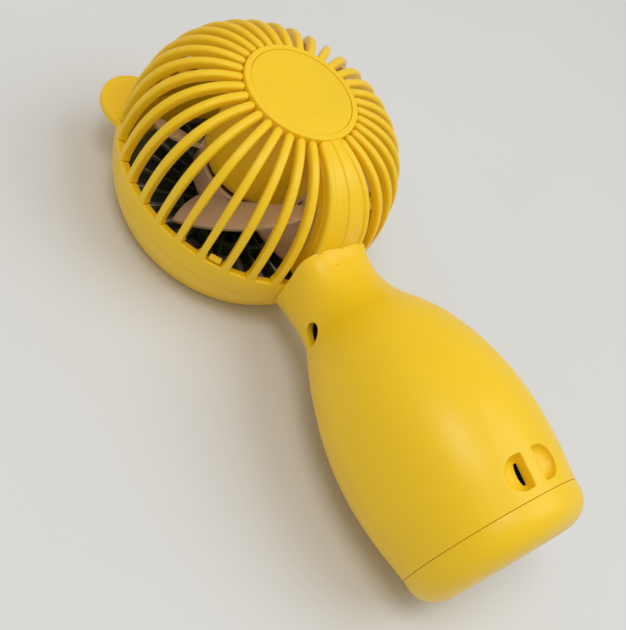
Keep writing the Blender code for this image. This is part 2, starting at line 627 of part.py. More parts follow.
def make_electronics():
    low, high = Vector((-8.0, -92.0, 11.0)) * MM, Vector((8.0, -67.0, 12.2)) * MM
    add_object("control_board", box_mesh(low, high), "board_green")
    switch_low, switch_high = Vector((-3.0, -3.0, 8.4)) * MM, Vector((3.0, 3.0, 10.7)) * MM
    offset = Vector((0.0, BUTTON_Y, 0.0))
    add_object("button_switch", box_mesh(switch_low + offset, switch_high + offset), "black_plastic")
    lens_face = handle_axis_z(-LENS_Y) - handle_radius(-LENS_Y) + 0.1 * MM
    lens = add_object("charge_light_lens", rod_mesh(LENS_RADIUS, lens_face, BOARD_Z - 0.6 * MM, 16), "white_lens")
    lens.location = (0.0, LENS_Y, 0.0)
    chips = (("charge_chip", -3.5, -86.0, 5.0, 4.0), ("power_coil", 3.6, -86.5, 3.6, 3.6),
             ("status_chip", 3.8, -73.5, 3.0, 2.4))
    for name, x, y, width, height in chips:
        chip_low = Vector((x - 0.5 * width, y - 0.5 * height, 12.5)) * MM
        chip_high = Vector((x + 0.5 * width, y + 0.5 * height, 13.9)) * MM
        add_object(name, box_mesh(chip_low, chip_high), "black_plastic")


def make_charge_jack():
    """Round charging jack behind the hole in the neck's left side."""
    along_x = (0.0, 0.5 * math.pi, 0.0)
    outline = ((2.0, 0.0), (3.9, 0.0), (3.9, 6.0), (0.9, 6.0), (0.9, 5.0), (2.0, 5.0))
    body = add_object("charge_jack_body", lathe_mesh([(r * MM, z * MM) for r, z in outline], 18), "black_plastic")
    body.location = JACK_CENTRE + Vector((4.4 * MM, 0.0, 0.0))
    body.rotation_euler = along_x
    pin = add_object("charge_jack_pin", rod_mesh(0.6 * MM, 1.0 * MM, 7.2 * MM, 12), "brass")
    pin.location = body.location
    pin.rotation_euler = along_x


def make_battery():
    radius, start, length = 9.1 * MM, -66.8 * MM, 50.0 * MM
    axis = (0.0, start, HANDLE_AXIS_Z)
    flat = (0.5 * math.pi, 0.0, 0.0)
    outline = ((0.0, 0.0), (radius - 0.8 * MM, 0.0), (radius, 0.8 * MM), (radius, length - 0.8 * MM),
               (radius - 0.8 * MM, length), (0.0, length))
    cell = add_object("battery_cell", lathe_mesh(outline, 24), "cell_wrap")
    tabs = (("battery_tab_positive", -0.7 * MM), ("battery_tab_negative", length + GAP))
    pieces = [cell]
    for name, place in tabs:
        pieces.append(add_object(name, box_mesh((-2.5 * MM, -8.0 * MM, place), (2.5 * MM, 6.0 * MM, place + 0.4 * MM)),
                                 "steel"))
    for piece in pieces:
        piece.location = axis
        piece.rotation_euler = flat
    pad_low = Vector((-7.0, -112.0, 37.0)) * MM
    pad_high = Vector((7.0, -76.0, 40.5)) * MM
    add_object("battery_foam_pad", box_mesh(pad_low, pad_high), "foam_grey")


# ---- wires ------------------------------------------------------------------------------
def smooth_path(points, steps):
    """Catmull-Rom points through a hand-laid route, steps between each pair."""
    points = [Vector(p) * MM for p in points]
    ends = [2 * points[0] - points[1]] + points + [2 * points[-1] - points[-2]]
    path = []
    for p0, p1, p2, p3 in zip(ends, ends[1:], ends[2:], ends[3:]):
        for i in range(steps):
            t = i / steps
            path.append(0.5 * ((2 * p1) + (p2 - p0) * t + (2 * p0 - 5 * p1 + 4 * p2 - p3) * t ** 2
                               + (3 * p1 - p0 - 3 * p2 + p3) * t ** 3))
    return path + [points[-1]]


def make_wire(name, route, material_name, radius=0.55 * MM):
    path = smooth_path(route, 2)
    curve = bpy.data.curves.new(name, "CURVE")
    curve.dimensions = "3D"
    curve.bevel_depth = radius
    curve.bevel_resolution = 1
    curve.use_fill_caps = True
    curve.render_resolution_u = 0
    spline = curve.splines.new("POLY")
    spline.points.add(len(path) - 1)
    for point, place in zip(spline.points, path):
        point.co = (*place, 1.0)
    curve.materials.append(material(material_name))
    wire = bpy.data.objects.new(name, curve)
    bpy.context.scene.collection.objects.link(wire)


def make_wires():
    for name, x, colour in (("motor_wire_red", 1.2, "wire_red"), ("motor_wire_black", -1.2, "wire_black")):
        route = ((x * 3, -67.5, 13.4), (x * 2, -63.6, 16.0), (x * 2, -58.0, 22.0), (x, -50.0, 27.0),
                 (x, -43.0, 28.4), (x, -38.0, 28.6), (x, -36.0, 32.0), (x, -34.4, 38.0), (x, -31.0, 44.0),
                 (x, -25.5, 48.2), (x, -19.5, 50.0), (x, -14.5, 50.0), (x, -9.0, 49.6))
        make_wire(name, route, colour)
    make_wire("battery_wire_red", ((5.0, -68.2, 13.2), (7.4, -66.6, 17.0), (6.0, -65.0, 22.0), (4.0, -65.0, 25.0)),
              "wire_red")
    make_wire("battery_wire_black", ((-6.4, -91.0, 13.4), (-9.8, -96.0, 15.2), (-10.6, -108.0, 16.6),
                                     (-9.0, -117.0, 20.0), (-4.0, -118.4, 24.0)), "wire_black")


def main():
    clear_scene()
    rotor = add_empty("rotor_axis", (0.0, 0.0, 0.0))
    button = add_empty("button_axis", (0.0, BUTTON_Y, 0.0))
    make_rear_cage()
    make_rear_cap_disc()
    make_front_bezel_ring()
    make_front_grille()
    make_grille_centre_cap()
    make_snap_clips()
    make_ear("left_ear", -1)
    make_ear("right_ear", 1)
    make_wire_duct()
    make_motor_pod()
    make_motor(rotor)
    make_motor_screws()
    make_impeller(rotor)
    make_handle_rear_shell()
    make_handle_front_shell()
    make_base_cap()
    make_button(button)
    make_electronics()
    make_charge_jack()
    make_battery()
    make_wires()


main()
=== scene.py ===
"""Looks of the handheld fan: fine meshes, materials, floor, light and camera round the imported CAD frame.

Units are metres, in the CAD frame: the origin is the centre of the fan's front face on the table, +Z points
to the rear disc and the handle runs along -Y. Sizes repeat the driving dimensions of the CAD model, except
that the neck's shape at its lip and the charging hole's radius belong to the looks alone.
"""

import json
import math

import bmesh
import bpy
from mathutils import Matrix, Vector
from mathutils.geometry import delaunay_2d_cdt


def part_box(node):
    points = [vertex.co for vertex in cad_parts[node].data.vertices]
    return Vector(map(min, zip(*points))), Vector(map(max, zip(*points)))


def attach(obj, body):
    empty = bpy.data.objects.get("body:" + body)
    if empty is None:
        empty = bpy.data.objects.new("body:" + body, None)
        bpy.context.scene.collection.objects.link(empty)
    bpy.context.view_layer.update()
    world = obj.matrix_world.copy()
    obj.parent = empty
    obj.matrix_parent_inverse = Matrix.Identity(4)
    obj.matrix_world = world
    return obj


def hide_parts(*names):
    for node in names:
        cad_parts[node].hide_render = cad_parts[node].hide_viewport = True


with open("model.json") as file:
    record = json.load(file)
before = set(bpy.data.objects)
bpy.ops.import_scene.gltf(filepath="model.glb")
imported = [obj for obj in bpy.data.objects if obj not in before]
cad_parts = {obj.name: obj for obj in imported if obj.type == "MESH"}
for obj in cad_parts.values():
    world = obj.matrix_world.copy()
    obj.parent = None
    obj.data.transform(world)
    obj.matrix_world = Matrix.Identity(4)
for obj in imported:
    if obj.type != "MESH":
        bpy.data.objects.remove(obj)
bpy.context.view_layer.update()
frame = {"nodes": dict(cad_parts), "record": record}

MM = 0.001
TAU = 2.0 * math.pi

# ---- driving sizes: the CAD model's, apart from the neck's lip and the charging hole -------
RING_RADIUS = 40.3 * MM
SILL_Z = 21.8 * MM
RING_SEAM_Z = 13.8 * MM
FRONT_RIM_RADIUS = 32.8 * MM
DOME_TOP_Z = 54.7 * MM
DOME_POWER = 2.65
DOME_CORE_RADIUS = 10.1 * MM
DISC_RADIUS = 16.8 * MM
CAP_RADIUS = 15.0 * MM
CAGE_WALL = 2.6 * MM
RIB_COUNT = 34
RIB_WIDTH = 2.0 * MM
RIB_PITCH = TAU / RIB_COUNT
HANDLE_ANGLE = -0.5 * math.pi
SPINE_SPAN = 1                       # the spine's panel reaches one rib place to each side
CLIP_GAPS = (4, 12, 21, 29)          # rib gaps with a snap hook, counted from the handle
GRILLE_RIB_COUNT = 26
GRILLE_BACK_Z = 6.3 * MM
GRILLE_FRONT_Z = 1.3 * MM
GRILLE_RADIUS = 32.3 * MM
EAR_RADIUS = 11.0 * MM
EAR_DISTANCE = 37.0 * MM
EAR_ANGLE = math.radians(38.0)
EAR_BOTTOM_Z = 17.6 * MM
EAR_THICKNESS = 2.2 * MM
POD_RADIUS = 16.4 * MM
POD_BOTTOM_Z = 23.0 * MM
POD_TOP_Z = 51.7 * MM
HUB_RADIUS = 16.4 * MM
HUB_FRONT_Z = 11.5 * MM
HUB_BACK_Z = 22.5 * MM
BLADE_COUNT = 5
BLADE_TIP_RADIUS = 31.5 * MM
BLADE_ROOT_RADIUS = 17.2 * MM
BLADE_START = math.radians(-178.0)
HANDLE_AXIS_Z = 27.2 * MM
PARTING_Z = 21.0 * MM
HANDLE_WALL = 2.2 * MM
HANDLE_END = 120.7 * MM              # distance along -Y, as are the outline's first numbers
BASE_END = 130.0 * MM
HANDLE_OUTLINE = ((38.0, 14.0), (42.0, 13.5), (48.0, 13.5), (55.1, 15.0), (61.5, 18.3), (68.2, 21.4),
                  (81.3, 25.4), (94.5, 27.2), (107.6, 26.8), (120.7, 24.9))
NECK_BEND = 6.0 * MM
NECK_BEND_START = 39.0 * MM
NECK_BEND_LENGTH = 18.0 * MM
LIP_START = 38.2 * MM
LIP_RISE = 1.1 * MM
LIP_LENGTH = 1.6 * MM
WAIST = 1.8 * MM                      # how far the neck's sides draw in at the lip
SHOULDER_POWER = 3.0                  # squareness of the neck's rear half at the lip
NECK_FADE = 8.0 * MM
JACK_CENTRE = Vector((-14.2, -55.3, 24.5)) * MM
JACK_HOLE_RADIUS = 2.95 * MM
LANYARD_CENTRE = Vector((-1.0, -114.2, 0.0)) * MM
LANYARD_LENGTH = 16.6 * MM
LANYARD_WIDTH = 8.4 * MM
LANYARD_BAR = 4.0 * MM
BUTTON_Y = -79.0 * MM
BUTTON_RADIUS = 5.0 * MM
LENS_Y = -70.0 * MM
LENS_RADIUS = 1.3 * MM

SEAM = 0.05 * MM                     # half of the fine gap drawn between two mated shells
FRONT_LIP_GAP = 0.15 * MM            # between the head and the handle's front shell


# ---- materials ---------------------------------------------------------------------------
def new_material(name):
    made = bpy.data.materials.new(name)
    made.use_nodes = True
    return made, made.node_tree.nodes, made.node_tree.links, made.node_tree.nodes["Principled BSDF"]


def noise(nodes, links, coordinates, scale, detail=3.0, roughness=0.5):
    node = nodes.new("ShaderNodeTexNoise")
    node.inputs["Scale"].default_value = scale
    node.inputs["Detail"].default_value = detail
    node.inputs["Roughness"].default_value = roughness
    links.new(coordinates, node.inputs["Vector"])
    return node.outputs["Fac"]


def mapped(nodes, links, value, low, high, out_low, out_high):
    node = nodes.new("ShaderNodeMapRange")
    for socket, number in zip(("From Min", "From Max", "To Min", "To Max"), (low, high, out_low, out_high)):
        node.inputs[socket].default_value = number
    links.new(value, node.inputs["Value"])
    return node.outputs["Result"]


def mixed_colour(nodes, links, factor, first, second):
    node = nodes.new("ShaderNodeMix")
    node.data_type = "RGBA"
    links.new(factor, node.inputs["Factor"])
    for socket, colour in (("A", first), ("B", second)):
        target = [s for s in node.inputs if s.name == socket and s.type == "RGBA"][0]
        if isinstance(colour, tuple):
            target.default_value = (*colour, 1.0)
        else:
            links.new(colour, target)
    return [s for s in node.outputs if s.type == "RGBA"][0]


def add_bump(nodes, links, shader, height, distance, strength=1.0):
    bump = nodes.new("ShaderNodeBump")
    bump.inputs["Strength"].default_value = strength
    bump.inputs["Distance"].default_value = distance
    links.new(height, bump.inputs["Height"])
    links.new(bump.outputs["Normal"], shader.inputs["Normal"])


def moulded_plastic(name, colour, roughness, shade=0.9, grain=0.012, specks=0.0, glow=0.0):
    """Moulded plastic: slow colour and gloss changes, a fine spark-eroded grain and a few dark specks."""
    made, nodes, links, shader = new_material(name)
    place = nodes.new("ShaderNodeTexCoord").outputs["Object"]
    slow = mapped(nodes, links, noise(nodes, links, place, 45.0, 4.0), 0.35, 0.65, 0.0, 1.0)
    darker = tuple(c * shade for c in colour)
    surface = mixed_colour(nodes, links, slow, colour, darker)
    if specks:
        dots = noise(nodes, links, place, 620.0, 1.0)
        surface = mixed_colour(nodes, links, mapped(nodes, links, dots, 0.80, 0.83, 0.0, specks), surface,
                               (0.25, 0.15, 0.04))
    links.new(surface, shader.inputs["Base Color"])
    gloss = noise(nodes, links, place, 160.0, 5.0, 0.6)
    links.new(mapped(nodes, links, gloss, 0.3, 0.7, roughness - 0.035, roughness + 0.045),
              shader.inputs["Roughness"])
    add_bump(nodes, links, shader, noise(nodes, links, place, 2600.0, 2.0), grain * MM, 0.35)
    shader.inputs["IOR"].default_value = 1.5
    shader.inputs["Specular IOR Level"].default_value = 0.38
    if glow:
        shader.inputs["Subsurface Weight"].default_value = glow
        shader.inputs["Subsurface Radius"].default_value = (1.0, 0.6, 0.25)
        shader.inputs["Subsurface Scale"].default_value = 1.2 * MM
    return made


def brushed_metal(name, colour, roughness, stretch=(1.0, 1.0, 0.04)):
    """Drawn or turned metal: fine streaks along one way, and duller patches."""
    made, nodes, links, shader = new_material(name)
    place = nodes.new("ShaderNodeTexCoord").outputs["Object"]
    mapping = nodes.new("ShaderNodeMapping")
    mapping.inputs["Scale"].default_value = stretch
    links.new(place, mapping.inputs["Vector"])
    streaks = noise(nodes, links, mapping.outputs["Vector"], 3200.0, 4.0)
    links.new(mapped(nodes, links, streaks, 0.3, 0.7, roughness - 0.1, roughness + 0.12),
              shader.inputs["Roughness"])
    patches = mapped(nodes, links, noise(nodes, links, place, 220.0), 0.4, 0.6, 0.0, 1.0)
    links.new(mixed_colour(nodes, links, patches, colour, tuple(c * 0.8 for c in colour)),
              shader.inputs["Base Color"])
    add_bump(nodes, links, shader, streaks, 0.01 * MM, 0.3)
    shader.inputs["Metallic"].default_value = 1.0
    return made


def circuit_board(name):
    """Green solder mask with faint copper tracks under it."""
    made, nodes, links, shader = new_material(name)
    place = nodes.new("ShaderNodeTexCoord").outputs["Object"]
    brick = nodes.new("ShaderNodeTexBrick")
    brick.inputs["Scale"].default_value = 420.0
    brick.inputs["Mortar Size"].default_value = 0.08
    brick.inputs["Color1"].default_value = (0.012, 0.11, 0.035, 1.0)
    brick.inputs["Color2"].default_value = (0.02, 0.16, 0.05, 1.0)
    brick.inputs["Mortar"].default_value = (0.06, 0.28, 0.09, 1.0)
    links.new(place, brick.inputs["Vector"])
    links.new(brick.outputs["Color"], shader.inputs["Base Color"])
    gloss = noise(nodes, links, place, 900.0)
    links.new(mapped(nodes, links, gloss, 0.3, 0.7, 0.25, 0.4), shader.inputs["Roughness"])
    add_bump(nodes, links, shader, brick.outputs["Fac"], 0.03 * MM)
    return made


def foam(name):
    made, nodes, links, shader = new_material(name)
    place = nodes.new("ShaderNodeTexCoord").outputs["Object"]
    cells = nodes.new("ShaderNodeTexVoronoi")
    cells.inputs["Scale"].default_value = 1500.0
    links.new(place, cells.inputs["Vector"])
    shade = mapped(nodes, links, cells.outputs["Distance"], 0.0, 0.7, 0.0, 1.0)
    links.new(mixed_colour(nodes, links, shade, (0.10, 0.10, 0.105), (0.28, 0.28, 0.29)),
              shader.inputs["Base Color"])
    links.new(mapped(nodes, links, shade, 0.0, 1.0, 0.95, 0.8), shader.inputs["Roughness"])
    add_bump(nodes, links, shader, cells.outputs["Distance"], 0.2 * MM)
    return made


YELLOW = (0.95, 0.615, 0.012)
yellow = moulded_plastic("yellow_abs", YELLOW, 0.36, shade=0.965, specks=0.5)
yellow_cap = moulded_plastic("yellow_abs_textured", YELLOW, 0.52, shade=0.93, grain=0.03, specks=0.35)
# Darker, more orange copy of the yellow plastic for the inner parts: painted shade on the same plastic as the
# shell.
yellow_inner = moulded_plastic("yellow_abs_painted_shade", (0.80, 0.46, 0.012), 0.45, shade=0.93)
green = moulded_plastic("dark_green_abs", (0.042, 0.07, 0.026), 0.3, shade=0.75, grain=0.02)
tan = moulded_plastic("tan_translucent", (0.62, 0.45, 0.29), 0.34, shade=0.93, glow=0.25)
black = moulded_plastic("black_plastic", (0.014, 0.014, 0.014), 0.45, shade=0.6)
lens_white = moulded_plastic("milky_lens", (0.85, 0.86, 0.84), 0.22, shade=0.97, glow=0.4)
wrap_blue = moulded_plastic("shrink_wrap", (0.05, 0.17, 0.48), 0.28, shade=0.85, grain=0.05)
red_cover = moulded_plastic("red_insulation", (0.55, 0.02, 0.012), 0.4, shade=0.8)
black_cover = moulded_plastic("black_insulation", (0.018, 0.018, 0.018), 0.4, shade=0.7)
ferrite = moulded_plastic("sintered_ferrite", (0.07, 0.065, 0.06), 0.6, shade=0.7, grain=0.08)
steel = brushed_metal("drawn_steel", (0.60, 0.60, 0.61), 0.3)
brass = brushed_metal("turned_brass", (0.78, 0.56, 0.24), 0.32)
board = circuit_board("solder_mask")
grey_foam = foam("grey_foam")
# Near-black painted shade for the deep parts of the lanyard pockets, in place of the unlit inside of the
# handle.
painted_shade_black = moulded_plastic("painted_shade_black", (0.004, 0.004, 0.004), 0.8, shade=0.6)

SLOT_MATERIALS = {
    "yellow_shell": yellow, "yellow_inner": yellow_inner, "green_grille": green, "tan_impeller": tan,
    "steel": steel, "brass": brass, "black_plastic": black, "board_green": board, "cell_wrap": wrap_blue,
    "foam_grey": grey_foam, "white_lens": lens_white, "wire_red": red_cover, "wire_black": black_cover,
    "ferrite": ferrite,
}


def dress_cad_nodes():
    """Every CAD node takes the procedural material of its slot in the record."""
    for part in frame["record"]["subparts"]:
        mesh = frame["nodes"][part["node"]].data
        mesh.materials.clear()
        mesh.materials.append(SLOT_MATERIALS[part["material_slot"]])


# ---- mesh helpers ------------------------------------------------------------------------
def add_piece(name, bm, node, slot="yellow_shell", materials=None, body="fan_body", sharp=50.0, bevel=0.0):
    """Turns a bmesh into a smooth piece that rides on a CAD body in place of a CAD node."""
    bmesh.ops.recalc_face_normals(bm, faces=bm.faces)
    mesh = bpy.data.meshes.new(name)
    bm.to_mesh(mesh)
    bm.free()
    mesh.shade_smooth()
    mesh.set_sharp_from_angle(angle=math.radians(sharp))
    for item in materials or [SLOT_MATERIALS[slot]]:
        mesh.materials.append(item)
    piece = bpy.data.objects.new(name, mesh)
    bpy.context.scene.collection.objects.link(piece)
    if bevel:
        edges = piece.modifiers.new("edges", "BEVEL")
        edges.width = bevel
        edges.segments = 3
        edges.limit_method = "ANGLE"
        edges.angle_limit = math.radians(sharp)
        edges.harden_normals = True
    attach(piece, body)
    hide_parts(node)


def rounded_outline(corners, steps=4, closed=True):
    """Polygon of (a, b, radius) corners, each rounded off by its radius."""
    count = len(corners)
    outline = []
    for i, (a, b, radius) in enumerate(corners):
        here = Vector((a, b))
        if radius <= 0.0 or (not closed and i in (0, count - 1)):
            outline.append(here)
            continue
        back = Vector(corners[i - 1][:2]) - here
        ahead = Vector(corners[(i + 1) % count][:2]) - here
        half_turn = 0.5 * back.angle(ahead)
        reach = min(radius / math.tan(half_turn), 0.49 * back.length, 0.49 * ahead.length)
        radius = reach * math.tan(half_turn)
        back.normalize()
        ahead.normalize()
        centre = here + (back + ahead).normalized() * radius / math.sin(half_turn)
        first = here + back * reach - centre
        last = here + ahead * reach - centre
        sweep = first.angle(last)
        for k in range(steps + 1):
            t = k / steps
            arc = first * math.sin((1 - t) * sweep) + last * math.sin(t * sweep)
            outline.append(centre + arc / math.sin(sweep))
    return outline


def turned(corners, segments, closed=True, steps=4):
    """Solid or ring turned from a rounded outline."""
    return lathe(rounded_outline(corners, steps, closed), segments)


def lathe(outline, segments, bm=None):
    """Turns (radius, height) points about Z: a solid if the outline ends on the axis, else a ring."""
    bm = bm or bmesh.new()
    closed = outline[0][0] > 0.0 or outline[-1][0] > 0.0
    columns = []
    for radius, height in outline:
        if radius <= 0.0:
            columns.append([bm.verts.new((0.0, 0.0, height))] * segments)
            continue
        turns = (TAU * i / segments for i in range(segments))
        columns.append([bm.verts.new((radius * math.cos(a), radius * math.sin(a), height)) for a in turns])
    pairs = list(zip(columns, columns[1:]))
    if closed:
        pairs.append((columns[-1], columns[0]))
    for low, high in pairs:
        for i in range(segments):
            j = (i + 1) % segments
            bm.faces.new(list(dict.fromkeys((low[i], low[j], high[j], high[i]))))
    return bm


def sweep_loops(bm, loops, capped=True):
    """Skins matching closed loops of points, one after the other."""
    rings = [[bm.verts.new(p) for p in loop] for loop in loops]
    for first, second in zip(rings, rings[1:]):
        bridge(bm, first, second)
    if capped:
        bm.faces.new(rings[0])
        bm.faces.new(list(reversed(rings[-1])))
    return bm


def bridge(bm, first, second, closed=True, material_index=0, skip=()):
    """Quads between two matching rows of vertices."""
    count = len(first)
    for i in range(count if closed else count - 1):
        if i in skip:
            continue
        j = (i + 1) % count
        face = bm.faces.new((first[i], first[j], second[j], second[i]))
        face.material_index = material_index


def resampled(points, count):
    """The same line as count even steps."""
    lengths = [0.0]
    for a, b in zip(points, points[1:]):
        lengths.append(lengths[-1] + (Vector(b) - Vector(a)).length)
    result, index = [], 0
    for k in range(count + 1):
        wanted = lengths[-1] * k / count
        while index < len(points) - 2 and lengths[index + 1] < wanted:
            index += 1
        share = (wanted - lengths[index]) / max(lengths[index + 1] - lengths[index], 1e-12)
        result.append(Vector(points[index]).lerp(Vector(points[index + 1]), min(share, 1.0)))
    return result


def smoothstep(x):
    x = min(max(x, 0.0), 1.0)
    return x * x * (3.0 - 2.0 * x)


# ---- shape rules: as in the CAD model, except near the neck's lip --------------------------
def ring_radius(height):
    drop = (SILL_Z - height) / SILL_Z
    return RING_RADIUS - (RING_RADIUS - FRONT_RIM_RADIUS) * drop * drop


def dome_point(turn):
    power = 2.0 / DOME_POWER
    radius = DOME_CORE_RADIUS + (RING_RADIUS - DOME_CORE_RADIUS) * max(math.cos(turn), 0.0) ** power
    return Vector((radius, SILL_Z + (DOME_TOP_Z - SILL_Z) * math.sin(turn) ** power))


def dome_turn(radius):
    share = (radius - DOME_CORE_RADIUS) / (RING_RADIUS - DOME_CORE_RADIUS)
    return math.acos(share ** (0.5 * DOME_POWER))


def head_radius(height):
    if height <= SILL_Z:
        return ring_radius(height)
    share = min((height - SILL_Z) / (DOME_TOP_Z - SILL_Z), 1.0)
    return dome_point(math.asin(share ** (0.5 * DOME_POWER))).x


def dome_line(last_radius, count):
    """Evenly spaced (radius, height) points up the dome, with the outward normal at each."""
    last = dome_turn(last_radius)
    points = resampled([dome_point(last * (k / 600) ** 1.3) for k in range(601)], count)
    line = []
    for k, point in enumerate(points):
        along = points[min(k + 1, count)] - points[max(k - 1, 0)]
        line.append((point, Vector((along.y, -along.x)).normalized()))
    return line


def handle_radius(distance):
    points = [(d * MM, r * MM) for d, r in HANDLE_OUTLINE]
    index = 0
    while index < len(points) - 2 and distance > points[index + 1][0]:
        index += 1
    before, after = points[max(index - 1, 0)], points[min(index + 2, len(points) - 1)]
    (d0, r0), (d1, r1) = points[index], points[index + 1]
    step = d1 - d0
    slope0 = (r1 - before[1]) / (d1 - before[0])
    slope1 = (after[1] - r0) / (after[0] - d0)
    t = min(max((distance - d0) / step, 0.0), 1.0)
    blend0 = (2 * t ** 3 - 3 * t ** 2 + 1) * r0 + (t ** 3 - 2 * t ** 2 + t) * step * slope0
    return blend0 + (3 * t ** 2 - 2 * t ** 3) * r1 + (t ** 3 - t ** 2) * step * slope1


def handle_axis_z(distance):
    """Height of the handle's axis, which bends down towards the head."""
    return HANDLE_AXIS_Z - NECK_BEND * math.exp(-((distance - NECK_BEND_START) / NECK_BEND_LENGTH) ** 2)


def handle_point(turn, distance, inset=0.0):
    radius = handle_radius(distance) - inset
    cosine, sine = math.cos(turn), math.sin(turn)
    near_lip = math.exp(-((distance - LIP_START) / NECK_FADE) ** 2)
    if sine > 0.0:
        power = 2.0 + (SHOULDER_POWER - 2.0) * near_lip
        radius /= (abs(cosine) ** power + sine ** power) ** (1.0 / power)
    x = cosine * (radius - WAIST * near_lip * cosine ** 2)
    rise = LIP_RISE * math.exp(-max(distance - LIP_START, 0.0) / LIP_LENGTH) * max(sine, 0.0) ** 2
    return Vector((x, -distance, handle_axis_z(distance) + radius * sine + rise))


def rear_lip_gap(turn):
    """Gap between the head and the neck's rear lip, which reaches in to the spine's sunk panel."""
    return (0.1 - 0.6 * smoothstep((math.sin(turn) - 0.35) / 0.35)) * MM


def head_distance(turn, inset, gap):
    """Where a line along the handle meets the head, as a distance from the fan's axis."""
    distance = RING_RADIUS - 1.3 * MM
    for _ in range(4):
        point = handle_point(turn, distance, inset)
        distance = math.sqrt(head_radius(point.z) ** 2 - point.x ** 2) + gap
    return distance


# ---- head --------------------------------------------------------------------------------
def rotated(point_2d, across, angle):
    """A point given by (radius, height) and a shift across, turned about the fan's axis."""
    radius, height = point_2d
    cosine, sine = math.cos(angle), math.sin(angle)
    return Vector((radius * cosine - across * sine, radius * sine + across * cosine, height))


def make_cage_ring():
    """Rear half of the ring: barrel outside, sloping sill with crisp edges, and the seam's rounded lip."""
    seam = RING_SEAM_Z + SEAM
    barrel = [(ring_radius(z), z) for z in (seam + 0.8 * MM, seam + 3.0 * MM, seam + 5.2 * MM)]
    corners = [(ring_radius(seam), seam, 0.12 * MM)] + [(r, z, 0.0) for r, z in barrel]
    corners += [(RING_RADIUS, SILL_Z - 0.1 * MM, 0.35 * MM),
                (RING_RADIUS - CAGE_WALL, SILL_Z - 0.9 * MM, 0.25 * MM),
                (ring_radius(seam) - CAGE_WALL, seam, 0.12 * MM)]
    add_piece("cage_ring", turned(corners, 288), "rear_cage")


def rib_rows():
    """Rows along a rib: point on its crest, outward normal, width and crown radius."""
    rows = []
    foot = 2.2 * MM
    proud = 0.012 * MM                   # the ribs stand this far out of the ring and the dome
    for k in range(4):
        z = SILL_Z - foot * (1.0 - k / 4)
        sunk = 0.15 * MM * (1.0 - k / 4) - proud
        rows.append((Vector((ring_radius(z) - sunk, z)), Vector((1.0, 0.0)), RIB_WIDTH, 0.4 * MM))
    line = dome_line(DISC_RADIUS - 0.1 * MM, 56)
    total = len(line) - 1
    step = (line[1][0] - line[0][0]).length
    tip = 1.2 * MM
    for k, (point, normal) in enumerate(line):
        rise = point.y - SILL_Z
        left = (total - k) * step
        foot_fillet = 0.8 * MM * math.exp(-rise / (0.4 * MM))
        width = RIB_WIDTH + foot_fillet + 0.4 * MM * smoothstep(rise / (24.0 * MM))
        crown = (0.45 + 0.45 * smoothstep(rise / (20.0 * MM))) * MM
        drop = 0.2 * MM * smoothstep(1.0 - left / (9.0 * MM)) - proud
        if left < tip:
            round_off = 1.0 - math.sqrt(max(1.0 - (1.0 - left / tip) ** 2, 0.0))
            drop += 0.55 * MM * round_off
            width -= 1.7 * MM * round_off
        rows.append((point - normal * drop, normal, width, crown))
    return rows


def make_ribs():
    """The cage's ribs: rounded bars that rise from the ring and end in round tips at the rear disc."""
    rows = rib_rows()
    bm = bmesh.new()
    for place in range(SPINE_SPAN, RIB_COUNT - SPINE_SPAN + 1):
        angle = HANDLE_ANGLE + place * RIB_PITCH
        loops = []
        for point, normal, width, crown in rows:
            half = 0.5 * width
            crown = min(crown, 0.9 * half)
            section = rounded_outline(((-half, 0.0, crown), (half, 0.0, crown), (half, CAGE_WALL, 0.3 * MM),
                                       (-half, CAGE_WALL, 0.3 * MM)))
            loops.append([rotated(point - normal * p.y, p.x, angle) for p in section])
        sweep_loops(bm, loops)
    add_piece("cage_ribs", bm, "rear_cage", sharp=55.0)


def make_spine_panel():
    """Panel between the two middle ribs, with a low ridge down its middle."""
    recess, thickness = 0.55 * MM, 2.0 * MM
    ridge_half, ridge_rise, ridge_side = 0.5 * MM, 0.36 * MM, 0.28 * MM
    shifts = [-(ridge_half + ridge_side), -ridge_half, -0.5 * ridge_half, 0.0, 0.5 * ridge_half, ridge_half,
              ridge_half + ridge_side]
    bm = bmesh.new()
    loops = []
    for point, normal in dome_line(DISC_RADIUS - 0.2 * MM, 60):
        reach = SPINE_SPAN * RIB_PITCH * point.x
        places = [-reach + (reach - 1.1 * MM) * k / 7 for k in range(8)]
        spread = places + shifts + [-p for p in reversed(places)]
        outer, inner = [], []
        for across in spread:
            rise = ridge_rise if abs(across) <= ridge_half + 1e-9 else 0.0
            angle = HANDLE_ANGLE + across / point.x
            outer.append(rotated(point - normal * (recess - rise), 0.0, angle))
            inner.append(rotated(point - normal * (recess + thickness), 0.0, angle))
        loops.append(outer + inner[::-1])
    sweep_loops(bm, loops)
    add_piece("cage_spine_panel", bm, "rear_cage", sharp=30.0)


def make_disc():
    """Flange that carries the ribs' ends, and the round cap set into it."""
    bore = CAP_RADIUS - 0.05 * MM
    flange = ((bore, POD_TOP_Z + 0.2 * MM, 0.0), (bore, DOME_TOP_Z, 0.12 * MM),
              (DISC_RADIUS - 0.1 * MM, DOME_TOP_Z, 0.5 * MM), (DISC_RADIUS, POD_TOP_Z + 0.2 * MM, 0.0))
    add_piece("cage_disc_flange", turned(flange, 144, steps=6), "rear_cage")
    top = DOME_TOP_Z - 0.12 * MM
    edge = CAP_RADIUS - 0.13 * MM
    cap = ((0.0, top, 0.0), (edge, top, 0.25 * MM), (edge, POD_TOP_Z + 0.3 * MM, 0.2 * MM),
           (0.0, POD_TOP_Z + 0.3 * MM, 0.0))
    add_piece("rear_cap", turned(cap, 144, closed=False), "rear_cap_disc", materials=[yellow_cap])


